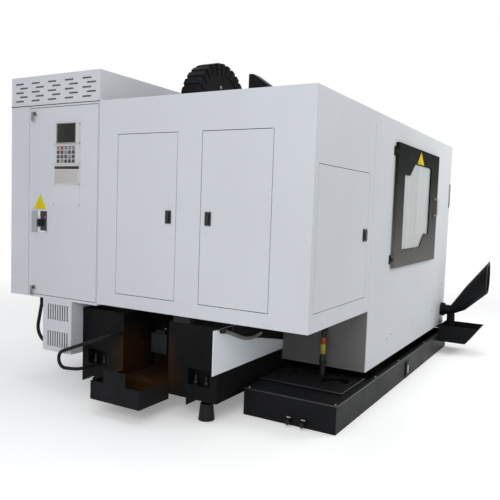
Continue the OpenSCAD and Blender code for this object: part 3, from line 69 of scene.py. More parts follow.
CAMERA_PLACE = Vector((-2.299, 4.495, 1.339))
CAMERA_YAW, CAMERA_PITCH, CAMERA_ROLL = 0.5253, -0.0718, 0.034
CAMERA_LENS, CAMERA_SENSOR = 43.16, 36
CAMERA_REACH = 60


def place_camera():
    ahead = Vector((math.sin(CAMERA_YAW) * math.cos(CAMERA_PITCH),
                    -math.cos(CAMERA_YAW) * math.cos(CAMERA_PITCH), math.sin(CAMERA_PITCH)))
    right = Vector((-math.cos(CAMERA_YAW), -math.sin(CAMERA_YAW), 0))
    up = right.cross(ahead)
    across = math.cos(CAMERA_ROLL) * right + math.sin(CAMERA_ROLL) * up
    upward = math.cos(CAMERA_ROLL) * up - math.sin(CAMERA_ROLL) * right
    data = bpy.data.cameras.new("photo_camera")
    data.sensor_fit = "HORIZONTAL"
    data.sensor_width = CAMERA_SENSOR
    data.lens = CAMERA_LENS
    data.clip_end = CAMERA_REACH
    camera = bpy.data.objects.new("photo_camera", data)
    turn = Matrix((across, upward, -ahead)).transposed().to_4x4()
    camera.matrix_world = Matrix.Translation(CAMERA_PLACE) @ turn
    SCENE.collection.objects.link(camera)
    SCENE.camera = camera


place_camera()


# Finishes

WHITE = (0.62, 0.64, 0.68)
FASCIA = (0.61, 0.6, 0.615)
BLACK = (0.006, 0.0065, 0.0075)
STEEL = (0.55, 0.55, 0.56)
DUST = (0.05, 0.047, 0.042)
OIL_BROWN = (0.042, 0.017, 0.004)
COOLANT_FILM = (0.36, 0.4, 0.41)

# The oil stain round the bed's trench: its centre, and where it starts to fade and ends, in metres
STAIN_CENTRE = at(10, 190, 270)
STAIN_INNER, STAIN_OUTER = 0.16, 0.4
# Where the control's fascia meets the blank plate under it, in metres
FASCIA_SEAM = (1.436, 1.44)
# The window frame's painted shading and the pane's painted reflection run between these heights, in
# metres
FRAME_FADE = (0.9, 1.86)
PANE_FADE = (1.0, 1.75)
# Orange peel of sheet paint: noise scale, and depth in metres
PEEL_SCALE, PEEL_DEPTH = 420, 0.0006


class Finish:
    """A material built round one Principled shader, on Object coordinates."""

    def __init__(self, name, roughness=0.5, metallic=0.0, specular=0.5):
        self.material = bpy.data.materials.new(name)
        self.material.use_nodes = True
        self.tree = self.material.node_tree
        self.tree.nodes.clear()
        self.shader = self.tree.nodes.new("ShaderNodeBsdfPrincipled")
        self.output = self.tree.nodes.new("ShaderNodeOutputMaterial")
        self.link(self.shader.outputs["BSDF"], self.output.inputs["Surface"])
        self.shader.inputs["Roughness"].default_value = roughness
        self.shader.inputs["Metallic"].default_value = metallic
        self.shader.inputs["Specular IOR Level"].default_value = specular
        self.place = self.tree.nodes.new("ShaderNodeTexCoord").outputs["Object"]

    def link(self, source, target):
        self.tree.links.new(source, target)

    def noise(self, scale, detail=3.0, rough=0.5, stretch=(1, 1, 1)):
        """Noise from 0 to 1, its coordinates multiplied by stretch."""
        mapping = self.tree.nodes.new("ShaderNodeMapping")
        mapping.inputs["Scale"].default_value = stretch
        self.link(self.place, mapping.inputs["Vector"])
        noise = self.tree.nodes.new("ShaderNodeTexNoise")
        noise.inputs["Scale"].default_value = scale
        noise.inputs["Detail"].default_value = detail
        noise.inputs["Roughness"].default_value = rough
        self.link(mapping.outputs["Vector"], noise.inputs["Vector"])
        return noise.outputs["Fac"]

    def ranged(self, value, low, high):
        """0 where value is low and 1 where it is high."""
        node = self.tree.nodes.new("ShaderNodeMapRange")
        node.inputs["From Min"].default_value = low
        node.inputs["From Max"].default_value = high
        self.link(value, node.inputs["Value"])
        return node.outputs["Result"]

    def height(self, low, high):
        """0 at the height low and 1 at the height high, in metres."""
        split = self.tree.nodes.new("ShaderNodeSeparateXYZ")
        self.link(self.place, split.inputs["Vector"])
        return self.ranged(split.outputs["Z"], low, high)

    def distance(self, centre):
        """Distance from a point, in metres."""
        apart = self.tree.nodes.new("ShaderNodeVectorMath")
        apart.operation = "DISTANCE"
        self.link(self.place, apart.inputs[0])
        apart.inputs[1].default_value = centre
        return apart.outputs["Value"]

    def stain(self, centre, inner, outer):
        """1 within a distance of a point, in metres, fading in blotches to 0 farther out."""
        ragged = self.math("MULTIPLY", self.noise(9, 4, 0.6), 0.12)
        return self.ranged(self.math("ADD", self.distance(centre), ragged), outer, inner)

    def math(self, kind, a, b):
        node = self.tree.nodes.new("ShaderNodeMath")
        node.operation = kind
        for socket, value in zip(node.inputs, (a, b)):
            if isinstance(value, (int, float)):
                socket.default_value = value
            else:
                self.link(value, socket)
        return node.outputs["Value"]

    def ramp(self, factor, *stops):
        """Colours at places along a factor."""
        node = self.tree.nodes.new("ShaderNodeValToRGB")
        elements = node.color_ramp.elements
        while len(elements) < len(stops):
            elements.new(0.5)
        for element, (place, colour) in zip(elements, stops):
            element.position = place
            element.color = (*colour, 1)
        self.link(factor, node.inputs["Fac"])
        return node.outputs["Color"]

    def level(self, factor, low, high):
        """A grey level that goes from low to high over a factor's middle half."""
        return self.ramp(factor, (0.25, (low,) * 3), (0.75, (high,) * 3))

    def blend(self, factor, a, b):
        node = self.tree.nodes.new("ShaderNodeMix")
        node.data_type = "RGBA"
        self.link(factor, node.inputs["Factor"])
        for socket, value in ((node.inputs["A"], a), (node.inputs["B"], b)):
            if isinstance(value, tuple):
                socket.default_value = (*value, 1)
            else:
                self.link(value, socket)
        return node.outputs["Result"]

    def colour(self, source):
        self.link(source, self.shader.inputs["Base Color"])

    def roughness(self, source):
        self.link(source, self.shader.inputs["Roughness"])

    def bump(self, height, strength, depth):
        node = self.tree.nodes.new("ShaderNodeBump")
        node.inputs["Strength"].default_value = strength
        node.inputs["Distance"].default_value = depth
        self.link(height, node.inputs["Height"])
        self.link(node.outputs["Normal"], self.shader.inputs["Normal"])


def tone(colour, factor):
    return tuple(channel * factor for channel in colour)


def paint(name, colour, roughness=0.42, variation=0.04, peel=0.12, specular=0.4):
    """Stoved paint on sheet: faint clouding, fine orange peel and a varying gloss."""
    finish = Finish(name, roughness, specular=specular)
    cloud = finish.math("MULTIPLY", finish.noise(1.3, 4), 0.75)
    grain = finish.math("MULTIPLY", finish.noise(260, 2), 0.25)
    finish.colour(finish.ramp(finish.math("ADD", cloud, grain), (0.3, tone(colour, 1 - variation)),
                              (0.7, tone(colour, 1 + variation))))
    finish.roughness(finish.level(finish.noise(3.2, 3), roughness - 0.06, roughness + 0.08))
    finish.bump(finish.noise(PEEL_SCALE, 2), peel, PEEL_DEPTH)
    return finish.material


def cast_paint(name, colour, roughness=0.5, specular=0.3, dusty=0.1, oiled=False):
    """Thick paint on a casting: pitted and mottled, with dust, and brown oil round the trench."""
    finish = Finish(name, roughness, specular=specular)
    lumps = finish.noise(38, 5, 0.6)
    base = finish.ramp(lumps, (0.3, tone(colour, 0.75)), (0.75, tone(colour, 1.35)))
    base = finish.blend(finish.level(finish.noise(6, 5, 0.65), 0.0, dusty), base, DUST)
    if oiled:
        base = finish.blend(finish.stain(STAIN_CENTRE, STAIN_INNER, STAIN_OUTER), base, OIL_BROWN)
    finish.colour(base)
    finish.roughness(finish.level(finish.noise(11, 4), roughness - 0.1, roughness + 0.16))
    finish.bump(lumps, 0.35, 0.0015)
    return finish.material


def brushed(name, colour, roughness=0.3, stretch=(3, 3, 3)):
    """Ground, brushed or plated metal, its streaks along the direction that is stretched least."""
    finish = Finish(name, roughness, metallic=1.0)
    streak = finish.noise(14, 4, 0.6, stretch)
    base = finish.ramp(streak, (0.25, tone(colour, 0.82)), (0.8, tone(colour, 1.12)))
    stain = finish.level(finish.noise(4, 4), 0.0, 0.25)
    finish.colour(finish.blend(stain, base, tone(colour, 0.6)))
    finish.roughness(finish.level(streak, roughness - 0.08, roughness + 0.14))
    finish.bump(streak, 0.12, 0.0003)
    return finish.material


def plastic(name, colour, roughness=0.45, grain=700, specular=0.4):
    """Moulded plastic with a fine spark-eroded grain."""
    finish = Finish(name, roughness, specular=specular)
    finish.colour(finish.ramp(finish.noise(9, 4), (0.3, tone(colour, 0.85)),
                              (0.7, tone(colour, 1.2))))
    finish.roughness(finish.level(finish.noise(25, 3), roughness - 0.05, roughness + 0.1))
    finish.bump(finish.noise(grain, 2), 0.2, 0.0004)
    return finish.material


def frame_paint(name):
    """Dark window frame with painted shading: darkest at the top and paler towards its foot."""
    finish = Finish(name, 0.5, specular=0.006)
    cloud = finish.math("MULTIPLY", finish.noise(3, 3), 0.14)
    # Painted shading: the frame's colour pales from its top towards its foot
    fade = finish.math("ADD", finish.height(*FRAME_FADE), finish.math("SUBTRACT", cloud, 0.07))
    finish.colour(finish.ramp(fade, (0.0, (0.15, 0.147, 0.145)), (0.45, (0.065, 0.064, 0.063)),
                              (0.8, (0.02, 0.0215, 0.0215)), (1.0, (0.012, 0.013, 0.013))))
    finish.roughness(finish.level(finish.noise(18, 3), 0.44, 0.6))
    finish.bump(finish.noise(400, 2), 0.12, 0.0005)
    return finish.material


def control_paint(name):
    """Pale fascia round the screen and keys, above a blank plate painted like the door."""
    finish = Finish(name, 0.5, specular=0.4)
    finish.colour(finish.blend(finish.height(*FASCIA_SEAM), WHITE, FASCIA))
    finish.roughness(finish.level(finish.noise(3.2, 3), 0.44, 0.58))
    finish.bump(finish.noise(PEEL_SCALE, 2), 0.12, PEEL_DEPTH)
    return finish.material


def pane_glass(name):
    """Pale laminated pane over a painted reflection, bluer towards the top, with dried coolant run
    down it in streaks.
    """
    finish = Finish(name, 0.18, specular=0.14)
    film = finish.noise(2.6, 4, 0.55, (1, 3.2, 0.35))
    # Painted reflection: warmer at the pane's foot, paler and bluer towards its top
    painted_reflection = finish.ramp(finish.height(*PANE_FADE), (0.0, (0.61, 0.605, 0.6)),
                         (0.55, (0.64, 0.655, 0.67)), (1.0, (0.62, 0.665, 0.67)))
    finish.colour(finish.blend(finish.level(film, 0.0, 0.55), painted_reflection, COOLANT_FILM))
    finish.roughness(finish.level(film, 0.1, 0.28))
    finish.shader.inputs["Transmission Weight"].default_value = 0.22
    finish.shader.inputs["IOR"].default_value = 1.45
    finish.bump(finish.noise(3, 2), 0.05, 0.002)
    return finish.material


def rubber(name, colour):
    """Dull rubber with a fine grain."""
    finish = Finish(name, 0.55, specular=0.14)
    finish.colour(finish.ramp(finish.noise(30, 4), (0.3, tone(colour, 0.8)),
                              (0.75, tone(colour, 1.5))))
    finish.roughness(finish.level(finish.noise(60, 3), 0.45, 0.7))
    finish.bump(finish.noise(500, 2), 0.25, 0.0005)
    return finish.material


def oil_film(name):
    """Brown way oil lying in the tray, with darker pools."""
    finish = Finish(name, 0.5, specular=0.12)
    pool = finish.noise(7, 5, 0.6)
    finish.colour(finish.ramp(pool, (0.3, (0.012, 0.006, 0.002)), (0.55, (0.03, 0.013, 0.004)),
                              (0.8, (0.055, 0.026, 0.008))))
    finish.roughness(finish.level(finish.noise(20, 3), 0.4, 0.65))
    finish.bump(pool, 0.25, 0.002)
    return finish.material


def screen_glass(name):
    """Unlit screen behind a smeared cover."""
    finish = Finish(name, 0.16, specular=0.12)
    smear = finish.noise(14, 4, 0.6)
    finish.colour(finish.ramp(smear, (0.3, (0.013, 0.014, 0.014)), (0.75, (0.03, 0.031, 0.03))))
    finish.roughness(finish.level(smear, 0.08, 0.3))
    return finish.material


WHITE_PAINT = paint("enclosure_white_paint", WHITE, 0.5, specular=0.22)
HEAD_PAINT = paint("head_white_paint", (0.55, 0.57, 0.6), 0.38)
# Painted light: the skirt's white is a lighter copy of the enclosure's white, for the light that
# falls on it
SKIRT_LIT_PAINT = paint("skirt_lit_white_paint", (0.86, 0.9, 0.95))
CONTROL_PAINT = control_paint("control_fascia_paint")
# Painted shade: the switch cover's paint is the door's white darkened to six tenths
SWITCH_SHADED_PAINT = paint("switch_shaded_white_paint", (0.37, 0.385, 0.4), 0.5, specular=0.2)
# Painted highlight: pale paint for strips that stand for highlights along the switch plate
SWITCH_HIGHLIGHT_PAINT = paint("switch_highlight_paint", (0.8, 0.81, 0.82), 0.5)
POCKET_PAINT = paint("control_warm_grey_paint", (0.5, 0.475, 0.48), 0.55)
BLACK_PAINT = paint("black_sheet_paint", tone(BLACK, 1.25), 0.45, 0.25, 0.15, 0.1)
# Worn edges with a painted highlight: the rolled edges' paint is lighter and glossier than the
# black paint
WORN_HIGHLIT_EDGE_PAINT = paint("worn_and_highlit_edge_paint", tone(BLACK, 3), 0.3, 0.3, 0.1, 0.6)
BED_PAINT = cast_paint("bed_black_paint", tone(BLACK, 0.6), 0.5, 0.08, 0.06, True)
TROUGH_PAINT = cast_paint("trough_black_paint", tone(BLACK, 1.1), 0.55, 0.1, 0.06, True)
GREY_PAINT = paint("inner_grey_paint", (0.165, 0.158, 0.155), 0.45, 0.14, 0.12, 0.25)
GUIDE_PAINT = paint("chain_guide_dark_paint", (0.03, 0.029, 0.0285), 0.5, 0.14, 0.1, 0.1)
FRAME_PAINT = frame_paint("window_frame_paint")
MOTOR_PAINT = cast_paint("motor_dark_paint", (0.008, 0.0085, 0.01), 0.45, 0.15)
CAST_IRON = cast_paint("machined_iron", (0.1, 0.1, 0.1), 0.45)
STEEL_X = brushed("ground_steel_across", STEEL, 0.28, (1, 40, 40))
STEEL_Y = brushed("ground_steel_along", STEEL, 0.28, (40, 1, 40))
STEEL_Z = brushed("ground_steel_upright", STEEL, 0.28, (40, 40, 1))
ZINC = brushed("zinc_plate", (0.5, 0.5, 0.49), 0.42)
DULL_NICKEL = brushed("dull_nickel", (0.24, 0.24, 0.25), 0.4)
DARK_OXIDE = brushed("black_oxide_steel", (0.035, 0.035, 0.037), 0.45)
BLACK_PLASTIC = plastic("black_moulded_plastic", (0.01, 0.01, 0.0115))
CHAIN_PLASTIC = plastic("chain_nylon", (0.008, 0.008, 0.0098), 0.6, 500, 0.05)
GREY_PLASTIC = plastic("grey_key_plastic", (0.2, 0.19, 0.19), 0.5)
DARK_PLASTIC = plastic("dark_key_plastic", (0.04, 0.04, 0.043), 0.5)
# Painted shade: a grey mat put behind the hood's slots to stand for the shade inside
SLOT_SHADE_MAT = plastic("grey_slot_shade_mat", (0.15, 0.15, 0.155), 0.7, 260, 0.1)
RED_PLASTIC = plastic("red_key_plastic", (0.42, 0.02, 0.018), 0.42)
YELLOW_PLATE = paint("yellow_sign_paint", (0.68, 0.55, 0.008), 0.5, 0.06, 0.1, 0.03)
YELLOW_SLEEVE = plastic("yellow_sleeve_plastic", (0.42, 0.36, 0.03), 0.45)
ORANGE_SLEEVE = plastic("orange_sleeve_plastic", (0.32, 0.075, 0.008), 0.45)
RUBBER = rubber("black_rubber", (0.007, 0.007, 0.008))
PANE = pane_glass("window_pane_glass")
SCREEN = screen_glass("screen_cover_glass")
OIL = oil_film("brown_way_oil")

CAD_FINISH = {
    WHITE_PAINT: "rear_panel left_guard_panel left_side_panel right_side_panel front_panel "
                 "cabinet_shell cabinet_hood transformer_box rear_door_a rear_door_b side_door "
                 "cabinet_door front_door",
    SKIRT_LIT_PAINT: "skirt_panel",
    CONTROL_PAINT: "control_unit",
    HEAD_PAINT: "spindle_head",
    BED_PAINT: "base_casting column",
    TROUGH_PAINT: "drip_trough",
    BLACK_PAINT: "junction_box coolant_tank tank_cover chip_tray auger_tube chip_chute",
    FRAME_PAINT: "window_door",
    GREY_PAINT: "bulkhead chip_pan chain_arm",
    GUIDE_PAINT: "chain_trough",
    CAST_IRON: "saddle",
    MOTOR_PAINT: "axis_motors x_motor spindle_motor coolant_pump levelling_feet",
    STEEL_X: "x_rails x_screw table door_rails auger",
    STEEL_Y: "guide_rails y_screw",
    STEEL_Z: "z_screw spindle",
    ZINC: "drive_rack window_handle",
    DULL_NICKEL: "lock_top lock_low",
    DARK_OXIDE: "window_hinges",
    BLACK_PLASTIC: "latch_a latch_b side_latch switch_handle coolant_pipe",
    CHAIN_PLASTIC: "cable_chain",
    PANE: "window_pane front_pane",
    RUBBER: "supply_hose motor_hose",
}
for finish, names in CAD_FINISH.items():
    for name in names.split():
        NODES[name].data.materials.clear()
        NODES[name].data.materials.append(finish)


# Shapes

# Socket-head screw, as shares of its radius
SCREW_TALL, SCREW_TOP = 0.7, 0.9
SOCKET_RIM, SOCKET_SLOPE, SOCKET_DEEP = 0.42, 0.04, 0.45
# Hexagon bolt, as shares of its radius
WASHER_TALL, WASHER_WIDE, BOLT_EDGE = 0.18, 1.3, 0.08
# A direction that no tube runs along, from which the turn of its rings is taken
TUBE_REF = Vector((0.31, 0.52, 0.79))
# Vertices closer than this are merged, in metres
MERGE = 1e-6
# Smoothing angle for round tubes, in degrees
TUBE_SMOOTH = 50


def facing(direction):
    """The turn that takes +Z to a direction."""
    return Vector(direction).to_track_quat("Z", "Y").to_matrix().to_4x4()


def soften(bm, verts, width, segments=2):
    edges = {edge for vert in verts for edge in vert.link_edges}
    bmesh.ops.bevel(bm, geom=list(edges), offset=width, segments=segments, profile=0.5,
                    affect="EDGES", material=-1, clamp_overlap=True)


def slab(bm, x, d, z, edge=0.0):
    """A block between two values of x, d and z, its edges rounded."""
    low, high = at(x[0], d[1], z[0]), at(x[1], d[0], z[1])
    place = Matrix.Translation((low + high) / 2) @ Matrix.Diagonal((*(high - low), 1))
    made = bmesh.ops.create_cube(bm, size=1, matrix=place)["verts"]
    if edge:
        soften(bm, made, edge * MM)


def rod(bm, start, end, radius, radius_end=None, sides=28):
    """A round bar between two points, in metres, with its radius in millimetres."""
    along = end - start
    place = Matrix.Translation((start + end) / 2) @ facing(along)
    radius_end = radius if radius_end is None else radius_end
    return bmesh.ops.create_cone(bm, cap_ends=True, segments=sides, radius1=radius * MM,
                                 radius2=radius_end * MM, depth=along.length,
                                 matrix=place)["verts"]


def turned(bm, start, direction, profile, sides=32):
    """A turned shape: profile lists (radius, distance along the axis) in millimetres."""
    place = Matrix.Translation(start) @ facing(direction)
    verts = [bm.verts.new(place @ Vector((radius * MM, 0, along * MM)))
             for radius, along in profile]
    edges = [bm.edges.new(pair) for pair in zip(verts, verts[1:])]
    bmesh.ops.spin(bm, geom=verts + edges, cent=start, axis=direction.normalized(),
                   angle=2 * math.pi, steps=sides, use_merge=True)


def screw(bm, place, direction, radius):
    """A socket-head screw standing on a face."""
    size = radius * MM
    made = rod(bm, place, place + direction * size * SCREW_TALL, radius, radius * SCREW_TOP, 20)
    top = max({face for vert in made for face in vert.link_faces},
              key=lambda face: face.calc_center_median().dot(direction))
    bmesh.ops.inset_individual(bm, faces=[top], thickness=size * SOCKET_RIM, depth=0)
    bmesh.ops.inset_individual(bm, faces=[top], thickness=size * SOCKET_SLOPE,
                               depth=-size * SOCKET_DEEP)


def hex_bolt(bm, place, direction, radius, tall=0.7):
    """A hexagon head on a washer."""
    size = radius * MM
    start = place + direction * size * WASHER_TALL
    rod(bm, place, start, radius * WASHER_WIDE, sides=24)
    made = rod(bm, start, start + direction * size * tall, radius, sides=6)
    soften(bm, made, size * BOLT_EDGE, 1)


def prism(bm, points, lift):
    """A plate: an outline of points in metres, pushed out by a vector."""
    face = bm.faces.new([bm.verts.new(point) for point in points])
    made = bmesh.ops.extrude_face_region(bm, geom=[face])["geom"]
    verts = [item for item in made if isinstance(item, bmesh.types.BMVert)]
    bmesh.ops.translate(bm, verts=verts, vec=lift)


def tube(bm, path, radii, sides=16):
    """A tube through the points of a path, with a radius in metres at each of them."""
    rings = []
    last = len(path) - 1
    for i, point in enumerate(path):
        along = (path[min(i + 1, last)] - path[max(i - 1, 0)]).normalized()
        side = TUBE_REF.cross(along).normalized()
        turn = Matrix((side, along.cross(side), along)).transposed().to_4x4()
        made = bmesh.ops.create_circle(bm, cap_ends=i in (0, last), segments=sides, radius=radii[i],
                                       matrix=Matrix.Translation(point) @ turn)["verts"]
        rings.append({edge for vert in made for edge in vert.link_edges})
    for ring, following in zip(rings, rings[1:]):
        bmesh.ops.bridge_loops(bm, edges=list(ring | following))


def smooth_path(points, steps=6):
    """A curve through points, each leg eased by its neighbours."""
    curve = []
    for i in range(len(points) - 1):
        a, b = points[i], points[i + 1]
        lead = (b - points[max(i - 1, 0)]) / 2
        trail = (points[min(i + 2, len(points) - 1)] - a) / 2
        for step in range(steps):
            t = step / steps
            curve.append((2 * t ** 3 - 3 * t ** 2 + 1) * a + (t ** 3 - 2 * t ** 2 + t) * lead
                         + (3 * t ** 2 - 2 * t ** 3) * b + (t ** 3 - t ** 2) * trail)
    return curve + [points[-1]]


def piece(name, bm, finish, body, smooth=35):
    """Turns a finished shape into a piece of the machine that rides on a body."""
    bmesh.ops.remove_doubles(bm, verts=bm.verts, dist=MERGE)
    bmesh.ops.recalc_face_normals(bm, faces=bm.faces)
    mesh = bpy.data.meshes.new(name)
    bm.to_mesh(mesh)
    bm.free()
    mesh.materials.append(finish)
    mesh.polygons.foreach_set("use_smooth", [True] * len(mesh.polygons))
    mesh.set_sharp_from_angle(angle=math.radians(smooth))
    made = bpy.data.objects.new(name, mesh)
    SCENE.collection.objects.link(made)
    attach(made, body)
    return made


def blocks(name, finish, body, slot, *parts):
    """A piece made of blocks, each given by its x, d and z and the rounding of its edges."""
    bm = bmesh.new()
    for part in parts:
        slab(bm, *part)
    piece(name, bm, finish, body)


def fixings(name, make, radius, finish, body, slot, *rows):
    """A piece made of screws or bolts: each row has a direction and the places that face it."""
    bm = bmesh.new()
    for direction, places in rows:
        for place in places:
            make(bm, at(*place), direction, radius)
    piece(name, bm, finish, body)


# Hose and cable, along the same routes as in the part's source

SUPPLY_ROUTE = [(940, 60, 648), (940, 60, 590), (1005, 60, 315), (855, 60, 315)]
SUPPLY_BEND, SUPPLY_RADIUS = 105, 13
CABLE_ROUTE = [(202, 100, 470), (202, -30, 470), (660, -30, 292), (660, -30, 185),
               (463, -30, 202.5), (463, 100, 202.5)]
CABLE_BEND, CABLE_RADIUS = 58, 12
# Corrugation: step along the hose, and each ring's share of the radius, four rings to a rib
RIB_STEP = 3.2
RIBS = (1.0, 1.0, 0.9, 0.9)


def bend(route, i, radius, steps=9):
    """Points of the round bend at corner i of a route."""
    back = (route[i - 1] - route[i]).normalized()
    on = (route[i + 1] - route[i]).normalized()
    half = back.angle(on) / 2
    inward = (back + on).normalized()
    sideways = (on - back).normalized()
    centre = route[i] + inward * (radius / math.sin(half))
    turns = [(math.pi - 2 * half) * (s / steps - 0.5) for s in range(steps + 1)]
    return [centre + radius * (math.sin(turn) * sideways - math.cos(turn) * inward)
            for turn in turns]


def walk(route, radius, step):
    """Evenly spaced points along straight legs with round bends, and the length of the walk."""
    points = [route[0]]
    for i in range(1, len(route) - 1):
        points += bend(route, i, radius)
    points.append(route[-1])
    legs = [(b - a).length for a, b in zip(points, points[1:])]
    length = sum(legs)
    count = max(2, round(length / step))
    spaced, run, leg = [points[0]], 0.0, 0
    for k in range(1, count):
        target = length * k / count
        while run + legs[leg] < target:
            run += legs[leg]
            leg += 1
        spaced.append(points[leg].lerp(points[leg + 1], (target - run) / legs[leg]))
    return spaced + [points[-1]], length


def corrugated(name, node, route, bend_radius, radius):
    """A ribbed hose that stands for a node of the part."""
    path, length = walk([at(*corner) for corner in route], bend_radius * MM, RIB_STEP * MM)
    bm = bmesh.new()
    tube(bm, path, [radius * MM * RIBS[i % len(RIBS)] for i in range(len(path))], 18)
    hose = piece(name, bm, RUBBER, "machine", TUBE_SMOOTH)
    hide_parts(node)


corrugated("supply_conduit", "supply_hose", SUPPLY_ROUTE, SUPPLY_BEND, SUPPLY_RADIUS)
corrugated("motor_cable", "motor_hose", CABLE_ROUTE, CABLE_BEND, CABLE_RADIUS)


# Pieces of the cabinet door, which face the rear: outwards, d falls below 0

DOOR = "cabinet_door"
# Outer faces along d: the control's frame, the recess of its screen, and the switch's plate
CONTROL_FACE, RECESS_FACE, SWITCH_FACE = -4, -9, -6
# Keypad: first key's corner, pitch and size along x and z, depth along d
KEY_X, KEY_Z = 548, 1594.5
KEY_PITCH_X, KEY_PITCH_Z = 36, 30
KEY_WIDE, KEY_TALL, KEY_D = 24, 22, (-18, -13.8)
KEY_COLUMNS, KEY_ROWS = 5, 4
RED_KEY = (3, 3)
GREY_KEYS = [(3, column) for column in range(KEY_COLUMNS)] + [(1, 1), (0, 3), (2, 2)]
LIP_D = (-16, -13.5)
LOCK_X = 951
LOCK_ROSETTE = [(12.5, 0), (20, 0), (20, 2.5), (17.5, 4.5), (12.5, 4.5)]
# Sign plates: thickness, rim's width, and the slope and depth of the field inside the rim
SIGN_THICK, SIGN_RIM, SIGN_SLOPE, SIGN_DEEP = 1.6, 5, 1, 0.7


def sign(name, points, outward, body):
    """A plain yellow triangle with a raised rim."""
    bm = bmesh.new()
    prism(bm, points, outward * SIGN_THICK * MM)
    face = max((face for face in bm.faces if len(face.verts) == 3),
               key=lambda face: face.calc_center_median().dot(outward))
    bmesh.ops.inset_individual(bm, faces=[face], thickness=SIGN_RIM * MM, depth=0)
    bmesh.ops.inset_individual(bm, faces=[face], thickness=SIGN_SLOPE * MM, depth=-SIGN_DEEP * MM)
    piece(name, bm, YELLOW_PLATE, body)


def keys(name, finish, places):
    """Key caps at places given as row and column."""
    caps = []
    for row, column in places:
        x, z = KEY_X + KEY_PITCH_X * column, KEY_Z + KEY_PITCH_Z * row
        caps.append(((x, x + KEY_WIDE), KEY_D, (z, z + KEY_TALL), 1.6))
    blocks(name, finish, DOOR, "black_plastic", *caps)


def dress_control():
    blocks("control_screen", SCREEN, DOOR, "clear_glass",
           ((545, 719), (-11.5, RECESS_FACE), (1731.5, 1855.5), 1.2))
    blocks("control_screen_lip", GREY_PLASTIC, DOOR, "black_plastic",
           ((540, 546), LIP_D, (1726, 1861), 1),
           ((718, 724), LIP_D, (1726, 1861), 1),
           ((546, 718), LIP_D, (1726, 1732), 1),
           ((546, 718), LIP_D, (1855, 1861), 1))
    places = [(row, column) for column in range(KEY_COLUMNS) for row in range(KEY_ROWS)]
    places.remove(RED_KEY)
    keys("control_keys_grey", GREY_PLASTIC, [place for place in places if place in GREY_KEYS])
    keys("control_keys_dark", DARK_PLASTIC, [place for place in places if place not in GREY_KEYS])
    keys("control_key_red", RED_PLASTIC, [RED_KEY])
    blocks("control_slot", BLACK_PLASTIC, DOOR, "black_plastic",
           ((517, 747), (-8.5, CONTROL_FACE), (1553.5, 1571.5), 1.2))
    blocks("control_pocket_cover", POCKET_PAINT, DOOR, "white_paint",
           ((522, 742), (-11, RECESS_FACE), (1457, 1546), 1.5),
           ((620, 644), (-16, -11), (1536, 1541), 1.2))
    fixings("control_screws", screw, 5.5, ZINC, DOOR, "steel",
            (OUT_REAR, [(x, CONTROL_FACE, z) for x in (512, 752)
                        for z in (1852, 1727, 1590, 1452, 1314)]))


def dress_switch():
    blocks("switch_escutcheon", BLACK_PLASTIC, DOOR, "black_plastic",
           ((820, 884), (-6.3, SWITCH_FACE), (1124, 1261)),
           ((820, 848), (-9, -6.2), (1126, 1259), 1),
           ((848, 884), (-9, -6.2), (1216, 1259), 1))
    blocks("switch_red_mark", RED_PLASTIC, DOOR, "black_plastic",
           ((822, 842), (-11, -9), (1214, 1226), 0.6))
    # Painted shade: the cover wears a darkened copy of the door's white
    blocks("switch_shaded_cover", SWITCH_SHADED_PAINT, DOOR, "white_paint",
           ((912, 966), (-17, SWITCH_FACE), (1112, 1261), 4))
    # Painted highlights: pale strips along the switch plate's foot and beside its black part
    blocks("switch_painted_highlights", SWITCH_HIGHLIGHT_PAINT, DOOR, "white_paint",
           ((836, 909), (-9, SWITCH_FACE), (1112, 1122), 1.5),
           ((886, 909), (-8, SWITCH_FACE), (1123, 1139), 1),
           ((886, 909), (-8, SWITCH_FACE), (1218, 1258), 1))
    fixings("switch_plate_screws", screw, 4, ZINC, DOOR, "steel",
            (OUT_REAR, [(x, SWITCH_FACE, z) for x in (826, 960) for z in (1117, 1255)]))


def dress_locks():
    for name, z in (("upper", 1938), ("lower", 716)):
        bm = bmesh.new()
        turned(bm, at(LOCK_X, 0, z), OUT_REAR, LOCK_ROSETTE)
        piece("lock_rosette_" + name, bm, ZINC, DOOR)


sign("cabinet_sign", [at(834, 0, 1274), at(955, 0, 1274), at(895, 0, 1379)], OUT_REAR, DOOR)
dress_control()
dress_switch()
dress_locks()


# Pieces of the enclosure

LEFT_FACE, RIGHT_FACE, FRONT_FACE = -1200, 1200, 3300
# The window door's outer face along x, and its pane's outline as d and z
WIN_FACE = -1225.4
PANE_OUTLINE = [(1600, 1052), (2132, 1052), (2263, 1158), (2400, 1158), (2400, 1722), (1880, 1722),
                (1746, 1622), (1600, 1622)]
GASKET_PROUD, GASKET_WIDE, GASKET_DEEP = 1.5, 9, 11
WINDOW_SCREWS = [(1616, 1640), (1616, 1034), (1770, 1650), (1990, 1740), (2250, 1740), (2418, 1700),
                 (2418, 1440), (2418, 1180), (2290, 1140), (2110, 1034), (1860, 1034), (1582, 1330)]
HANDLE_D, HANDLE_ENDS = 2545, (1318, 1458)
HANDLE_ROSE = [(9.2, 0), (15, 0), (15, 2), (12, 4.5), (9.2, 5)]
# Window hinges: the feet of their leaves, and the screws above each foot
HINGE_FACE, HINGE_FEET, HINGE_SCREWS = -1204, (953, 1748), (14, 52)
# Rear door seals stop short of the hinge pins at the doors' ends
SEAL_D, SEAL_Z, SEAL_SHORT = (4, 9), (1771.2, 1782), 20
# Heights of the hood's lip, of the dark strip under it that paints the seam's shadow, and of the
# mats that paint the shade behind the slots
HOOD_LIP_Z, HOOD_SHADOW_STRIP_Z, SLOT_SHADE_Z = (1996, 2003), (1991.5, 1996.5), (2004, 2190)
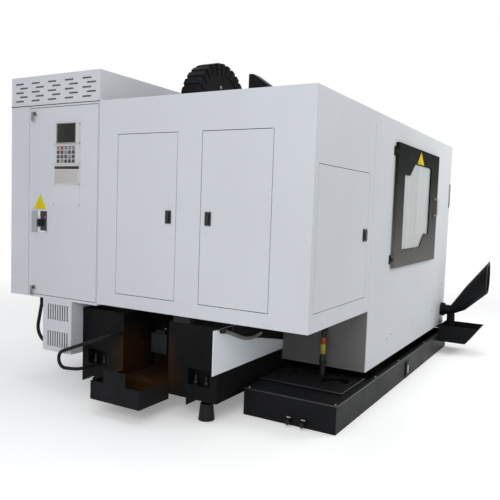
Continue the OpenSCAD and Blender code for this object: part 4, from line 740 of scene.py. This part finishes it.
# The skirt's outer face along x, and the dark sheet on it that paints the overhang's shadow, with
# its outline as d and z
SKIRT_FACE, SHADOW_SHEET_THICK = -569, 2
SHADOW_SHEET_FACE = SKIRT_FACE - SHADOW_SHEET_THICK
SHADOW_SHEET_OUTLINE = [(74, 592), (964, 592), (964, 380), (758, 423), (641, 448), (550, 463), (463, 471),
                (398, 481), (334, 504), (260, 534), (157, 572)]
# Pipes in front of the shadow sheet: radius, finish and route as d and z
SKIRT_PIPES = {
    "skirt_conduit": (12, GREY_PLASTIC, [(120, 580), (190, 560), (260, 535), (334, 508), (398, 490),
                                         (463, 481), (530, 481), (610, 494)]),
    "skirt_oil_pipe": (8, RUBBER, [(230, 576), (300, 556), (380, 542), (490, 542), (580, 558),
                                   (640, 576)]),
}


def dress_window():
    bm = bmesh.new()
    face = bm.faces.new([bm.verts.new(at(WIN_FACE - GASKET_PROUD, d, z)) for d, z in PANE_OUTLINE])
    inner = bmesh.ops.inset_region(bm, faces=[face], thickness=GASKET_WIDE * MM, use_boundary=True,
                                   use_even_offset=True)["faces"]
    bmesh.ops.delete(bm, geom=[face], context="FACES_ONLY")
    grown = bmesh.ops.extrude_face_region(bm, geom=inner)["geom"]
    moved = [item for item in grown if isinstance(item, bmesh.types.BMVert)]
    bmesh.ops.translate(bm, verts=moved, vec=OUT_RIGHT * GASKET_DEEP * MM)
    piece("window_gasket", bm, RUBBER, "window_door", 30)
    fixings("window_frame_screws", screw, 5, BLACK_PLASTIC, "window_door", "steel",
            (OUT_LEFT, [(WIN_FACE, d, z) for d, z in WINDOW_SCREWS]))
    bm = bmesh.new()
    for z in HANDLE_ENDS:
        turned(bm, at(WIN_FACE, HANDLE_D, z), OUT_LEFT, HANDLE_ROSE, 28)
    piece("window_handle_roses", bm, DARK_OXIDE, "window_door")
    fixings("window_hinge_screws", screw, 4, DARK_OXIDE, "machine", "steel",
            (OUT_LEFT, [(HINGE_FACE, d, foot + rise) for foot in HINGE_FEET
                        for rise in HINGE_SCREWS for d in (1385, 1398)]))


def dress_panels():
    left = ((1424, 393), (1521, 414), (2119, 418), (2790, 418), (3150, 640))
    fixings("panel_screws", screw, 7, ZINC, "machine", "steel",
            (OUT_LEFT, [(LEFT_FACE, d, z) for d, z in left]))
    fixings("painted_panel_screws", screw, 7, WHITE_PAINT, "machine", "white_paint",
            (OUT_LEFT, [(LEFT_FACE, d, z) for d in (1040, 3230) for z in (300, 1940)]),
            (OUT_RIGHT, [(RIGHT_FACE, d, z) for d in (1060, 1700, 2400, 3200)
                         for z in (300, 1940)]),
            (OUT_FRONT, [(x, FRONT_FACE, z) for x in (-1150, -700, 700, 1150)
                         for z in (290, 1950)]))
    seals = []
    for name in ("rear_door_a", "rear_door_b"):
        low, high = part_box(name)
        ends = ((low.x - MID_X) / MM + SEAL_SHORT, (high.x - MID_X) / MM - SEAL_SHORT)
        seals.append((ends, SEAL_D, SEAL_Z, 0.5))
    blocks("rear_door_seals", RUBBER, "machine", "hose_rubber", *seals)
    blocks("corner_grip", GREY_PLASTIC, "machine", "black_plastic",
           ((-1204, LEFT_FACE), (3262, 3294), (1397, 1630), 1.5),
           ((-1208, -1203), (3270, 3286), (1405, 1622), 2))


def dress_hood():
    # Painted shade: grey mats behind the slots keep them dark, as the shade inside the hood
    blocks("hood_slot_shade_mats", SLOT_SHADE_MAT, "machine", "black_plastic",
           ((350, 1184), (6, 14), SLOT_SHADE_Z, 2),
           ((1184, 1193), (16, 950), SLOT_SHADE_Z, 2))
    blocks("hood_lip", WHITE_PAINT, "machine", "white_paint",
           ((339, 1204), (-4, 0), HOOD_LIP_Z, 1),
           ((339, 343), (0, 966), HOOD_LIP_Z, 1),
           ((1200, 1204), (0, 966), HOOD_LIP_Z, 1))
    # Painted shadow: a dark rubber strip under the hood's lip stands for the shadow line of the
    # seam
    blocks("hood_shadow_strip", RUBBER, "machine", "hose_rubber",
           ((340, 1203), (-2, 0), HOOD_SHADOW_STRIP_Z, 0.8),
           ((1200, 1203), (0, 965), HOOD_SHADOW_STRIP_Z, 0.8))


def dress_skirt():
    """A dark sheet that paints the overhang's shadow on the skirt's upper part, and pipes that sag
    across it between blocks.
    """
    bm = bmesh.new()
    # Painted shadow: a dark sheet over the skirt where the enclosure's overhang casts its shadow
    prism(bm, [at(SKIRT_FACE, d, z) for d, z in SHADOW_SHEET_OUTLINE], OUT_LEFT * SHADOW_SHEET_THICK * MM)
    piece("skirt_shadow_sheet", bm, RUBBER, "machine")
    clips = []
    for name, (radius, finish, route) in SKIRT_PIPES.items():
        bm = bmesh.new()
        path = smooth_path([at(SHADOW_SHEET_FACE - 0.5 - radius, d, z) for d, z in route])
        tube(bm, path, [radius * MM] * len(path), 14)
        piece(name, bm, finish, "machine", TUBE_SMOOTH)
        for d, z in (route[0], route[-1]):
            clips.append(((SHADOW_SHEET_FACE - 3 - 2 * radius, SHADOW_SHEET_FACE + 0.5), (d - 15, d + 15),
                          (z - 12, z + 12), 2))
    blocks("skirt_pipe_clips", DARK_OXIDE, "machine", "steel", *clips)


sign("window_sign", [at(WIN_FACE, 1934, 1728), at(WIN_FACE, 2141, 1728), at(WIN_FACE, 2037, 1828)],
     OUT_LEFT, "window_door")
dress_window()
dress_panels()
dress_hood()
dress_skirt()


# Pieces of the bed, tank and chip chute

# Levelling bolts in the bed's rear pockets: the pockets along x, the bolts beside their centres
POCKETS, POCKET_BOLTS = (-428, 428), (-38, 42)
BOLT_D, BOLT_FOOT, BOLT_TOP = 135, 217, 280
MOTOR_FACE = 390
# Tops of the tank's rim and of its raised cover, and its outer face along x
RIM_Z, COVER_Z, TANK_FACE = 175, 189, -1246
ROLL_RADIUS = 3.5
ROLLED_EDGES = ([(-1240, 3290, 174), (-1240, 367, 174), (-603, 367, 174)],
                [(-1188, 1000, 188.5), (-1188, 580, 188.5), (-603, 580, 188.5)])
# Rings round the holes in the cover, at one distance from the rear
RING_D = 815
PUMP_RING = [(97, 0), (116, 0), (116, 3), (113, 5), (100, 5), (97, 3), (97, 0)]
PIPE_RING = [(76, 0), (85, 0), (85, 3), (83, 5), (78, 5), (76, 3), (76, 0)]
DRAINS = (-1038, -940)
PIPE_X, PIPE_D, CONNECTOR_Z = -906, 922, 269
CONNECTOR = [(15, 0), (22, 0), (24, 3), (24, 16), (20, 20), (20, 48), (17, 56), (15, 56)]
# The auger's axis, its flange's bolt circle, and the chute's oval mouth
AUGER_D, AUGER_Z = 3200, 387
FLANGE_X, FLANGE_RADIUS, FLANGE_BOLTS = -1235, 57, 8
MOUTH_X, MOUTH_Z, MOUTH_WIDE, MOUTH_TALL, MOUTH_STEPS = -1625, 738, 89, 154, 48


def dress_bed():
    bm = bmesh.new()
    for pocket in POCKETS:
        for side in POCKET_BOLTS:
            foot = at(pocket + side, BOLT_D, BOLT_FOOT)
            hex_bolt(bm, foot, UP, 17, 1.2)
            rod(bm, foot, at(pocket + side, BOLT_D, BOLT_TOP), 10)
    piece("levelling_bolts", bm, DARK_OXIDE, "machine")
    fixings("feed_motor_bolts", hex_bolt, 9, ZINC, "machine", "steel",
            (OUT_REAR, [(x, MOTOR_FACE, z) for x in (-62, 62) for z in (338, 462)]))
    blocks("trough_oil", OIL, "machine", None,
           ((-195.8, 195.8), (-183.8, 99), (98, 103), 2),
           ((-189, 189), (101, 429), (174.5, 178), 1.5))
    blocks("trough_end_lip", TROUGH_PAINT, "machine", "black_paint",
           ((-196.5, 196.5), (95, 99.5), (96.5, 133), 1))


def dress_tank():
    fixings("tank_cover_bolts", hex_bolt, 8, DARK_OXIDE, "machine", "steel",
            (UP, [(x, d, COVER_Z) for x in (-1170, -1030, -890, -750, -621) for d in (598, 982)]),
            (UP, [(-1170, d, COVER_Z) for d in (720, 860)]))
    bm = bmesh.new()
    for route in ROLLED_EDGES:
        tube(bm, [at(*corner) for corner in route], [ROLL_RADIUS * MM] * len(route), 12)
    # Wear and a painted highlight: the rolled edges take the lighter edge paint
    piece("tank_rolled_edges", bm, WORN_HIGHLIT_EDGE_PAINT, "machine", TUBE_SMOOTH)
    bm = bmesh.new()
    turned(bm, at(-1043, RING_D, COVER_Z), UP, PUMP_RING, 56)
    turned(bm, at(-690, RING_D, COVER_Z), UP, PIPE_RING, 48)
    piece("tank_rings", bm, BLACK_PAINT, "machine")
    blocks("gauge_frame", BLACK_PLASTIC, "machine", "black_plastic",
           ((-1252, TANK_FACE), (1842, 1908), (28, 122), 2))
    blocks("gauge_glass", PANE, "machine", "clear_glass",
           ((-1254.5, -1251), (1862, 1888), (44, 106), 1.5))
    bm = bmesh.new()
    for z in (34, 116):
        hex_bolt(bm, at(-1252, 1875, z), OUT_LEFT, 6)
    for x in DRAINS:
        rod(bm, at(x, 327, 28), at(x, 322, 28), 17, sides=6)
        rod(bm, at(x, 345, 42), at(x, 345, 54), 5)
    piece("tank_fittings", bm, DARK_OXIDE, "machine")
    bm = bmesh.new()
    for x in DRAINS:
        rod(bm, at(x - 13, 345, 56), at(x + 13, 345, 56), 4)
    piece("drain_levers", bm, ZINC, "machine")
    fixings("tank_rim_screws", screw, 7, ZINC, "machine", "steel",
            (UP, [(-1224, d, RIM_Z) for d in (392, 1130, 1690, 2480)] + [(-628, 392, RIM_Z)]))
    blocks("splash_strip", RUBBER, "machine", "hose_rubber",
           ((-1194, -605), (3240, 3295.5), (235, 237.9), 0.8),
           ((-1194, -605), (3291, 3295.5), (177, 235.5), 0.8))


def dress_pipe():
    for name, finish, low, high in (("pipe_sleeve_yellow", YELLOW_SLEEVE, 334, 404),
                                    ("pipe_sleeve_orange", ORANGE_SLEEVE, 404, 450)):
        bm = bmesh.new()
        tall = high - low
        turned(bm, at(PIPE_X, PIPE_D, low), UP,
               [(15, 0.5), (18, 0.5), (19, 2), (19, tall - 2), (18, tall), (15, tall)])
        piece(name, bm, finish, "machine")
    bm = bmesh.new()
    turned(bm, at(PIPE_X, PIPE_D, CONNECTOR_Z), UP, CONNECTOR)
    piece("pipe_connector", bm, BLACK_PLASTIC, "machine")


def dress_chute():
    turns = [2 * math.pi * (step + 0.5) / FLANGE_BOLTS for step in range(FLANGE_BOLTS)]
    fixings("auger_flange_bolts", hex_bolt, 4, DARK_OXIDE, "machine", "steel",
            (OUT_LEFT, [(FLANGE_X, AUGER_D + FLANGE_RADIUS * math.cos(turn),
                         AUGER_Z + FLANGE_RADIUS * math.sin(turn)) for turn in turns]))
    bm = bmesh.new()
    turns = [2 * math.pi * step / MOUTH_STEPS for step in range(MOUTH_STEPS + 1)]
    path = [at(MOUTH_X, AUGER_D + MOUTH_WIDE * math.sin(turn),
               MOUTH_Z + MOUTH_TALL * math.cos(turn)) for turn in turns]
    tube(bm, path, [ROLL_RADIUS * MM] * len(path), 10)
    # Wear and a painted highlight: the chute's rim takes the lighter edge paint
    piece("chute_rolled_rim", bm, WORN_HIGHLIT_EDGE_PAINT, "machine", TUBE_SMOOTH)
    blocks("auger_bracket", ZINC, "machine", "steel",
           ((-1232, LEFT_FACE), (3150, 3155), (262, 330), 1),
           ((-1205, LEFT_FACE), (3120, 3155), (262, 330), 1))


dress_bed()
dress_tank()
dress_pipe()
dress_chute()


# Pieces of the cable chain, the drives and the spindle

# The chain's bend: its axis, the radius of its pins, its links; and the lower ends of its two legs
CHAIN_D, CHAIN_Z, CHAIN_RADIUS, CHAIN_LINKS = 400, 1953, 265, 15
CHAIN_LEGS = ((CHAIN_D - CHAIN_RADIUS, 1563), (CHAIN_D + CHAIN_RADIUS, 1603))
CHAIN_SIDES = ((-350, OUT_LEFT), (-230, OUT_RIGHT))
BEND_PIN = [(0.2, 3), (9, 3), (11, 1.5), (11, 0)]
LEG_PIN = [(0.2, 0.3), (9, 0.3), (11, 0.2), (11, 0)]
LOOP_X, LOOP_RADIUS, LOOP_THICK, LOOP_STEPS = -345, 234, 3, 36
GLAND = [(0.2, 12), (5, 12), (6, 11), (6, 5), (10, 5), (10, 0)]
# Drives in the cabinet: feet of the two rows, first drive and pitch along x
DRIVE_ROWS, DRIVE_X, DRIVE_PITCH, DRIVES = (858, 1343), 417, 185, 4
FINS, FIN_PITCH, PINS, PIN_PITCH = 9, 15, 7, 18
# The spindle's axis, and its motor's top with the grille's rings and spokes
SPINDLE_D, GRILLE_Z = 1750, 2150
GRILLE_RINGS, RING_SIZE, SPOKES, SPOKE_LONG = (30, 50, 70, 90), 5, 4, 96


def dress_chain():
    bm = bmesh.new()
    pitch = math.pi * CHAIN_RADIUS / CHAIN_LINKS
    for x, way in CHAIN_SIDES:
        for link in range(CHAIN_LINKS):
            turn = math.pi * (link + 0.5) / CHAIN_LINKS
            pin = at(x, CHAIN_D + CHAIN_RADIUS * math.cos(turn),
                     CHAIN_Z + CHAIN_RADIUS * math.sin(turn))
            turned(bm, pin, way, BEND_PIN, 16)
        for d, low in CHAIN_LEGS:
            for link in range(int((CHAIN_Z - low) / pitch)):
                turned(bm, at(x, d, CHAIN_Z - (link + 0.5) * pitch), way, LEG_PIN, 16)
    piece("chain_pins", bm, CHAIN_PLASTIC, "cable_chain")
    bm = bmesh.new()
    turns = [math.pi * step / LOOP_STEPS for step in range(LOOP_STEPS + 1)]
    prism(bm, [at(LOOP_X, CHAIN_D + LOOP_RADIUS * math.cos(turn),
                  CHAIN_Z + LOOP_RADIUS * math.sin(turn)) for turn in turns],
          OUT_RIGHT * LOOP_THICK * MM)
    piece("chain_loop_plate", bm, CHAIN_PLASTIC, "cable_chain")
    bm = bmesh.new()
    turned(bm, at(LOOP_X, 370, 2098), OUT_LEFT, GLAND, 24)
    piece("chain_gland", bm, DULL_NICKEL, "cable_chain")


def dress_drives():
    fascias, fins, terminals = [], [], []
    for low in DRIVE_ROWS:
        for x in (DRIVE_X + DRIVE_PITCH * drive for drive in range(DRIVES)):
            fascias.append(((x + 6, x + 144), (454, 460), (low + 130, low + 372), 3))
            fascias.append(((x + 22, x + 128), (448, 454), (low + 270, low + 345), 2))
            for left in (x + 12 + FIN_PITCH * fin for fin in range(FINS)):
                fins.append(((left, left + 3), (440, 460), (low + 12, low + 66)))
            for left in (x + 15 + PIN_PITCH * pin for pin in range(PINS)):
                terminals.append(((left, left + 14), (444, 460), (low + 80, low + 112), 1.5))
    blocks("drive_fascias", GREY_PLASTIC, "machine", "black_plastic", *fascias)
    blocks("drive_fins", ZINC, "machine", "steel", *fins)
    blocks("drive_terminals", DARK_PLASTIC, "machine", "black_plastic", *terminals)


def dress_spindle():
    key_d = (SPINDLE_D - 9, SPINDLE_D + 9)
    blocks("spindle_drive_keys", STEEL_Z, "spindle", "steel",
           ((-69, -47), key_d, (1322, 1331), 1.5),
           ((47, 69), key_d, (1322, 1331), 1.5))
    bm = bmesh.new()
    for inner in GRILLE_RINGS:
        outer = inner + RING_SIZE
        turned(bm, at(0, SPINDLE_D, GRILLE_Z), UP,
               [(inner, 0), (outer, 0), (outer, RING_SIZE), (inner, RING_SIZE), (inner, 0)], 40)
    centre = at(0, SPINDLE_D, GRILLE_Z + 2)
    for turn in (math.pi * spoke / SPOKES for spoke in range(SPOKES)):
        side = Vector((math.cos(turn), math.sin(turn), 0)) * SPOKE_LONG * MM
        rod(bm, centre - side, centre + side, 2.5, sides=10)
    piece("spindle_motor_grille", bm, ZINC, "head")


dress_chain()
dress_drives()
dress_spindle()


# Floor and light: places and sizes in metres, powers in watts

FLOOR_SIZE = 30
# The floor fades to plain white between these distances from the machine's centre
FADE_START, FADE_END = 3.2, 6.5
FLOOR_GLOW = 0.25
ROOM_COLOUR, ROOM_STRENGTH = (0.95, 0.975, 1.0, 1), 0.42
PLAIN_WHITE = (1, 1, 1, 1)


def lay_floor():
    bm = bmesh.new()
    bmesh.ops.create_grid(bm, x_segments=1, y_segments=1, size=FLOOR_SIZE)
    mesh = bpy.data.meshes.new("studio_floor")
    bm.to_mesh(mesh)
    bm.free()
    floor = bpy.data.objects.new("studio_floor", mesh)
    SCENE.collection.objects.link(floor)
    mesh.materials.append(floor_finish())


def background_rays(tree):
    """1 for a camera, mirror or glass ray, which are the rays that see the plain background."""
    rays = tree.nodes.new("ShaderNodeLightPath")
    sight = rays.outputs["Is Camera Ray"]
    for kind in ("Is Glossy Ray", "Is Transmission Ray"):
        either = tree.nodes.new("ShaderNodeMath")
        either.operation = "MAXIMUM"
        tree.links.new(sight, either.inputs[0])
        tree.links.new(rays.outputs[kind], either.inputs[1])
        sight = either.outputs["Value"]
    return sight


def floor_finish():
    """Pale floor that keeps its shadows and turns to plain white far from the machine."""
    finish = Finish("pale_floor", 0.9, specular=0.1)
    finish.colour(finish.level(finish.noise(0.7, 3), 0.92, 0.94))
    tree = finish.tree
    sight = background_rays(tree)
    far = finish.ranged(finish.distance((0, 0, 0)), FADE_START, FADE_END)
    glow = tree.nodes.new("ShaderNodeEmission")
    finish.link(finish.math("MULTIPLY", sight, FLOOR_GLOW), glow.inputs["Strength"])
    lifted = tree.nodes.new("ShaderNodeAddShader")
    finish.link(finish.shader.outputs["BSDF"], lifted.inputs[0])
    finish.link(glow.outputs["Emission"], lifted.inputs[1])
    white = tree.nodes.new("ShaderNodeEmission")
    white.inputs["Color"].default_value = PLAIN_WHITE
    white.inputs["Strength"].default_value = 1.0
    seen = tree.nodes.new("ShaderNodeMixShader")
    finish.link(finish.math("MULTIPLY", sight, far), seen.inputs["Fac"])
    finish.link(lifted.outputs["Shader"], seen.inputs[1])
    finish.link(white.outputs["Emission"], seen.inputs[2])
    finish.link(seen.outputs["Shader"], finish.output.inputs["Surface"])
    return finish.material


def hang_lamp(name, place, target, size, power, colour=(1, 1, 1)):
    data = bpy.data.lights.new(name, "AREA")
    data.shape = "RECTANGLE"
    data.size, data.size_y = size
    data.energy = power
    data.color = colour
    lamp = bpy.data.objects.new(name, data)
    lamp.matrix_world = Matrix.Translation(place) @ facing(Vector(place) - Vector(target))
    SCENE.collection.objects.link(lamp)


def light_studio():
    world = bpy.data.worlds.new("studio")
    SCENE.world = world
    world.use_nodes = True
    tree = world.node_tree
    tree.nodes.clear()
    room = tree.nodes.new("ShaderNodeBackground")
    room.inputs["Color"].default_value = ROOM_COLOUR
    room.inputs["Strength"].default_value = ROOM_STRENGTH
    white = tree.nodes.new("ShaderNodeBackground")
    white.inputs["Color"].default_value = PLAIN_WHITE
    white.inputs["Strength"].default_value = 1.0
    both = tree.nodes.new("ShaderNodeMixShader")
    tree.links.new(background_rays(tree), both.inputs["Fac"])
    tree.links.new(room.outputs["Background"], both.inputs[1])
    tree.links.new(white.outputs["Background"], both.inputs[2])
    output = tree.nodes.new("ShaderNodeOutputWorld")
    tree.links.new(both.outputs["Shader"], output.inputs["Surface"])
    hang_lamp("rear_softbox", (-2.2, 6.4, 3.6), (0, 0.8, 1.0), (4, 3), 152)
    hang_lamp("side_softbox", (-3.8, -2.4, 3.4), (-1.0, -1.6, 1.3), (2, 2), 72, (0.98, 1, 0.93))
    hang_lamp("top_softbox", (0, 0, 6.5), (0, 0, 1), (5, 5), 130)


lay_floor()
light_studio()
SCENE.view_settings.view_transform = "Standard"
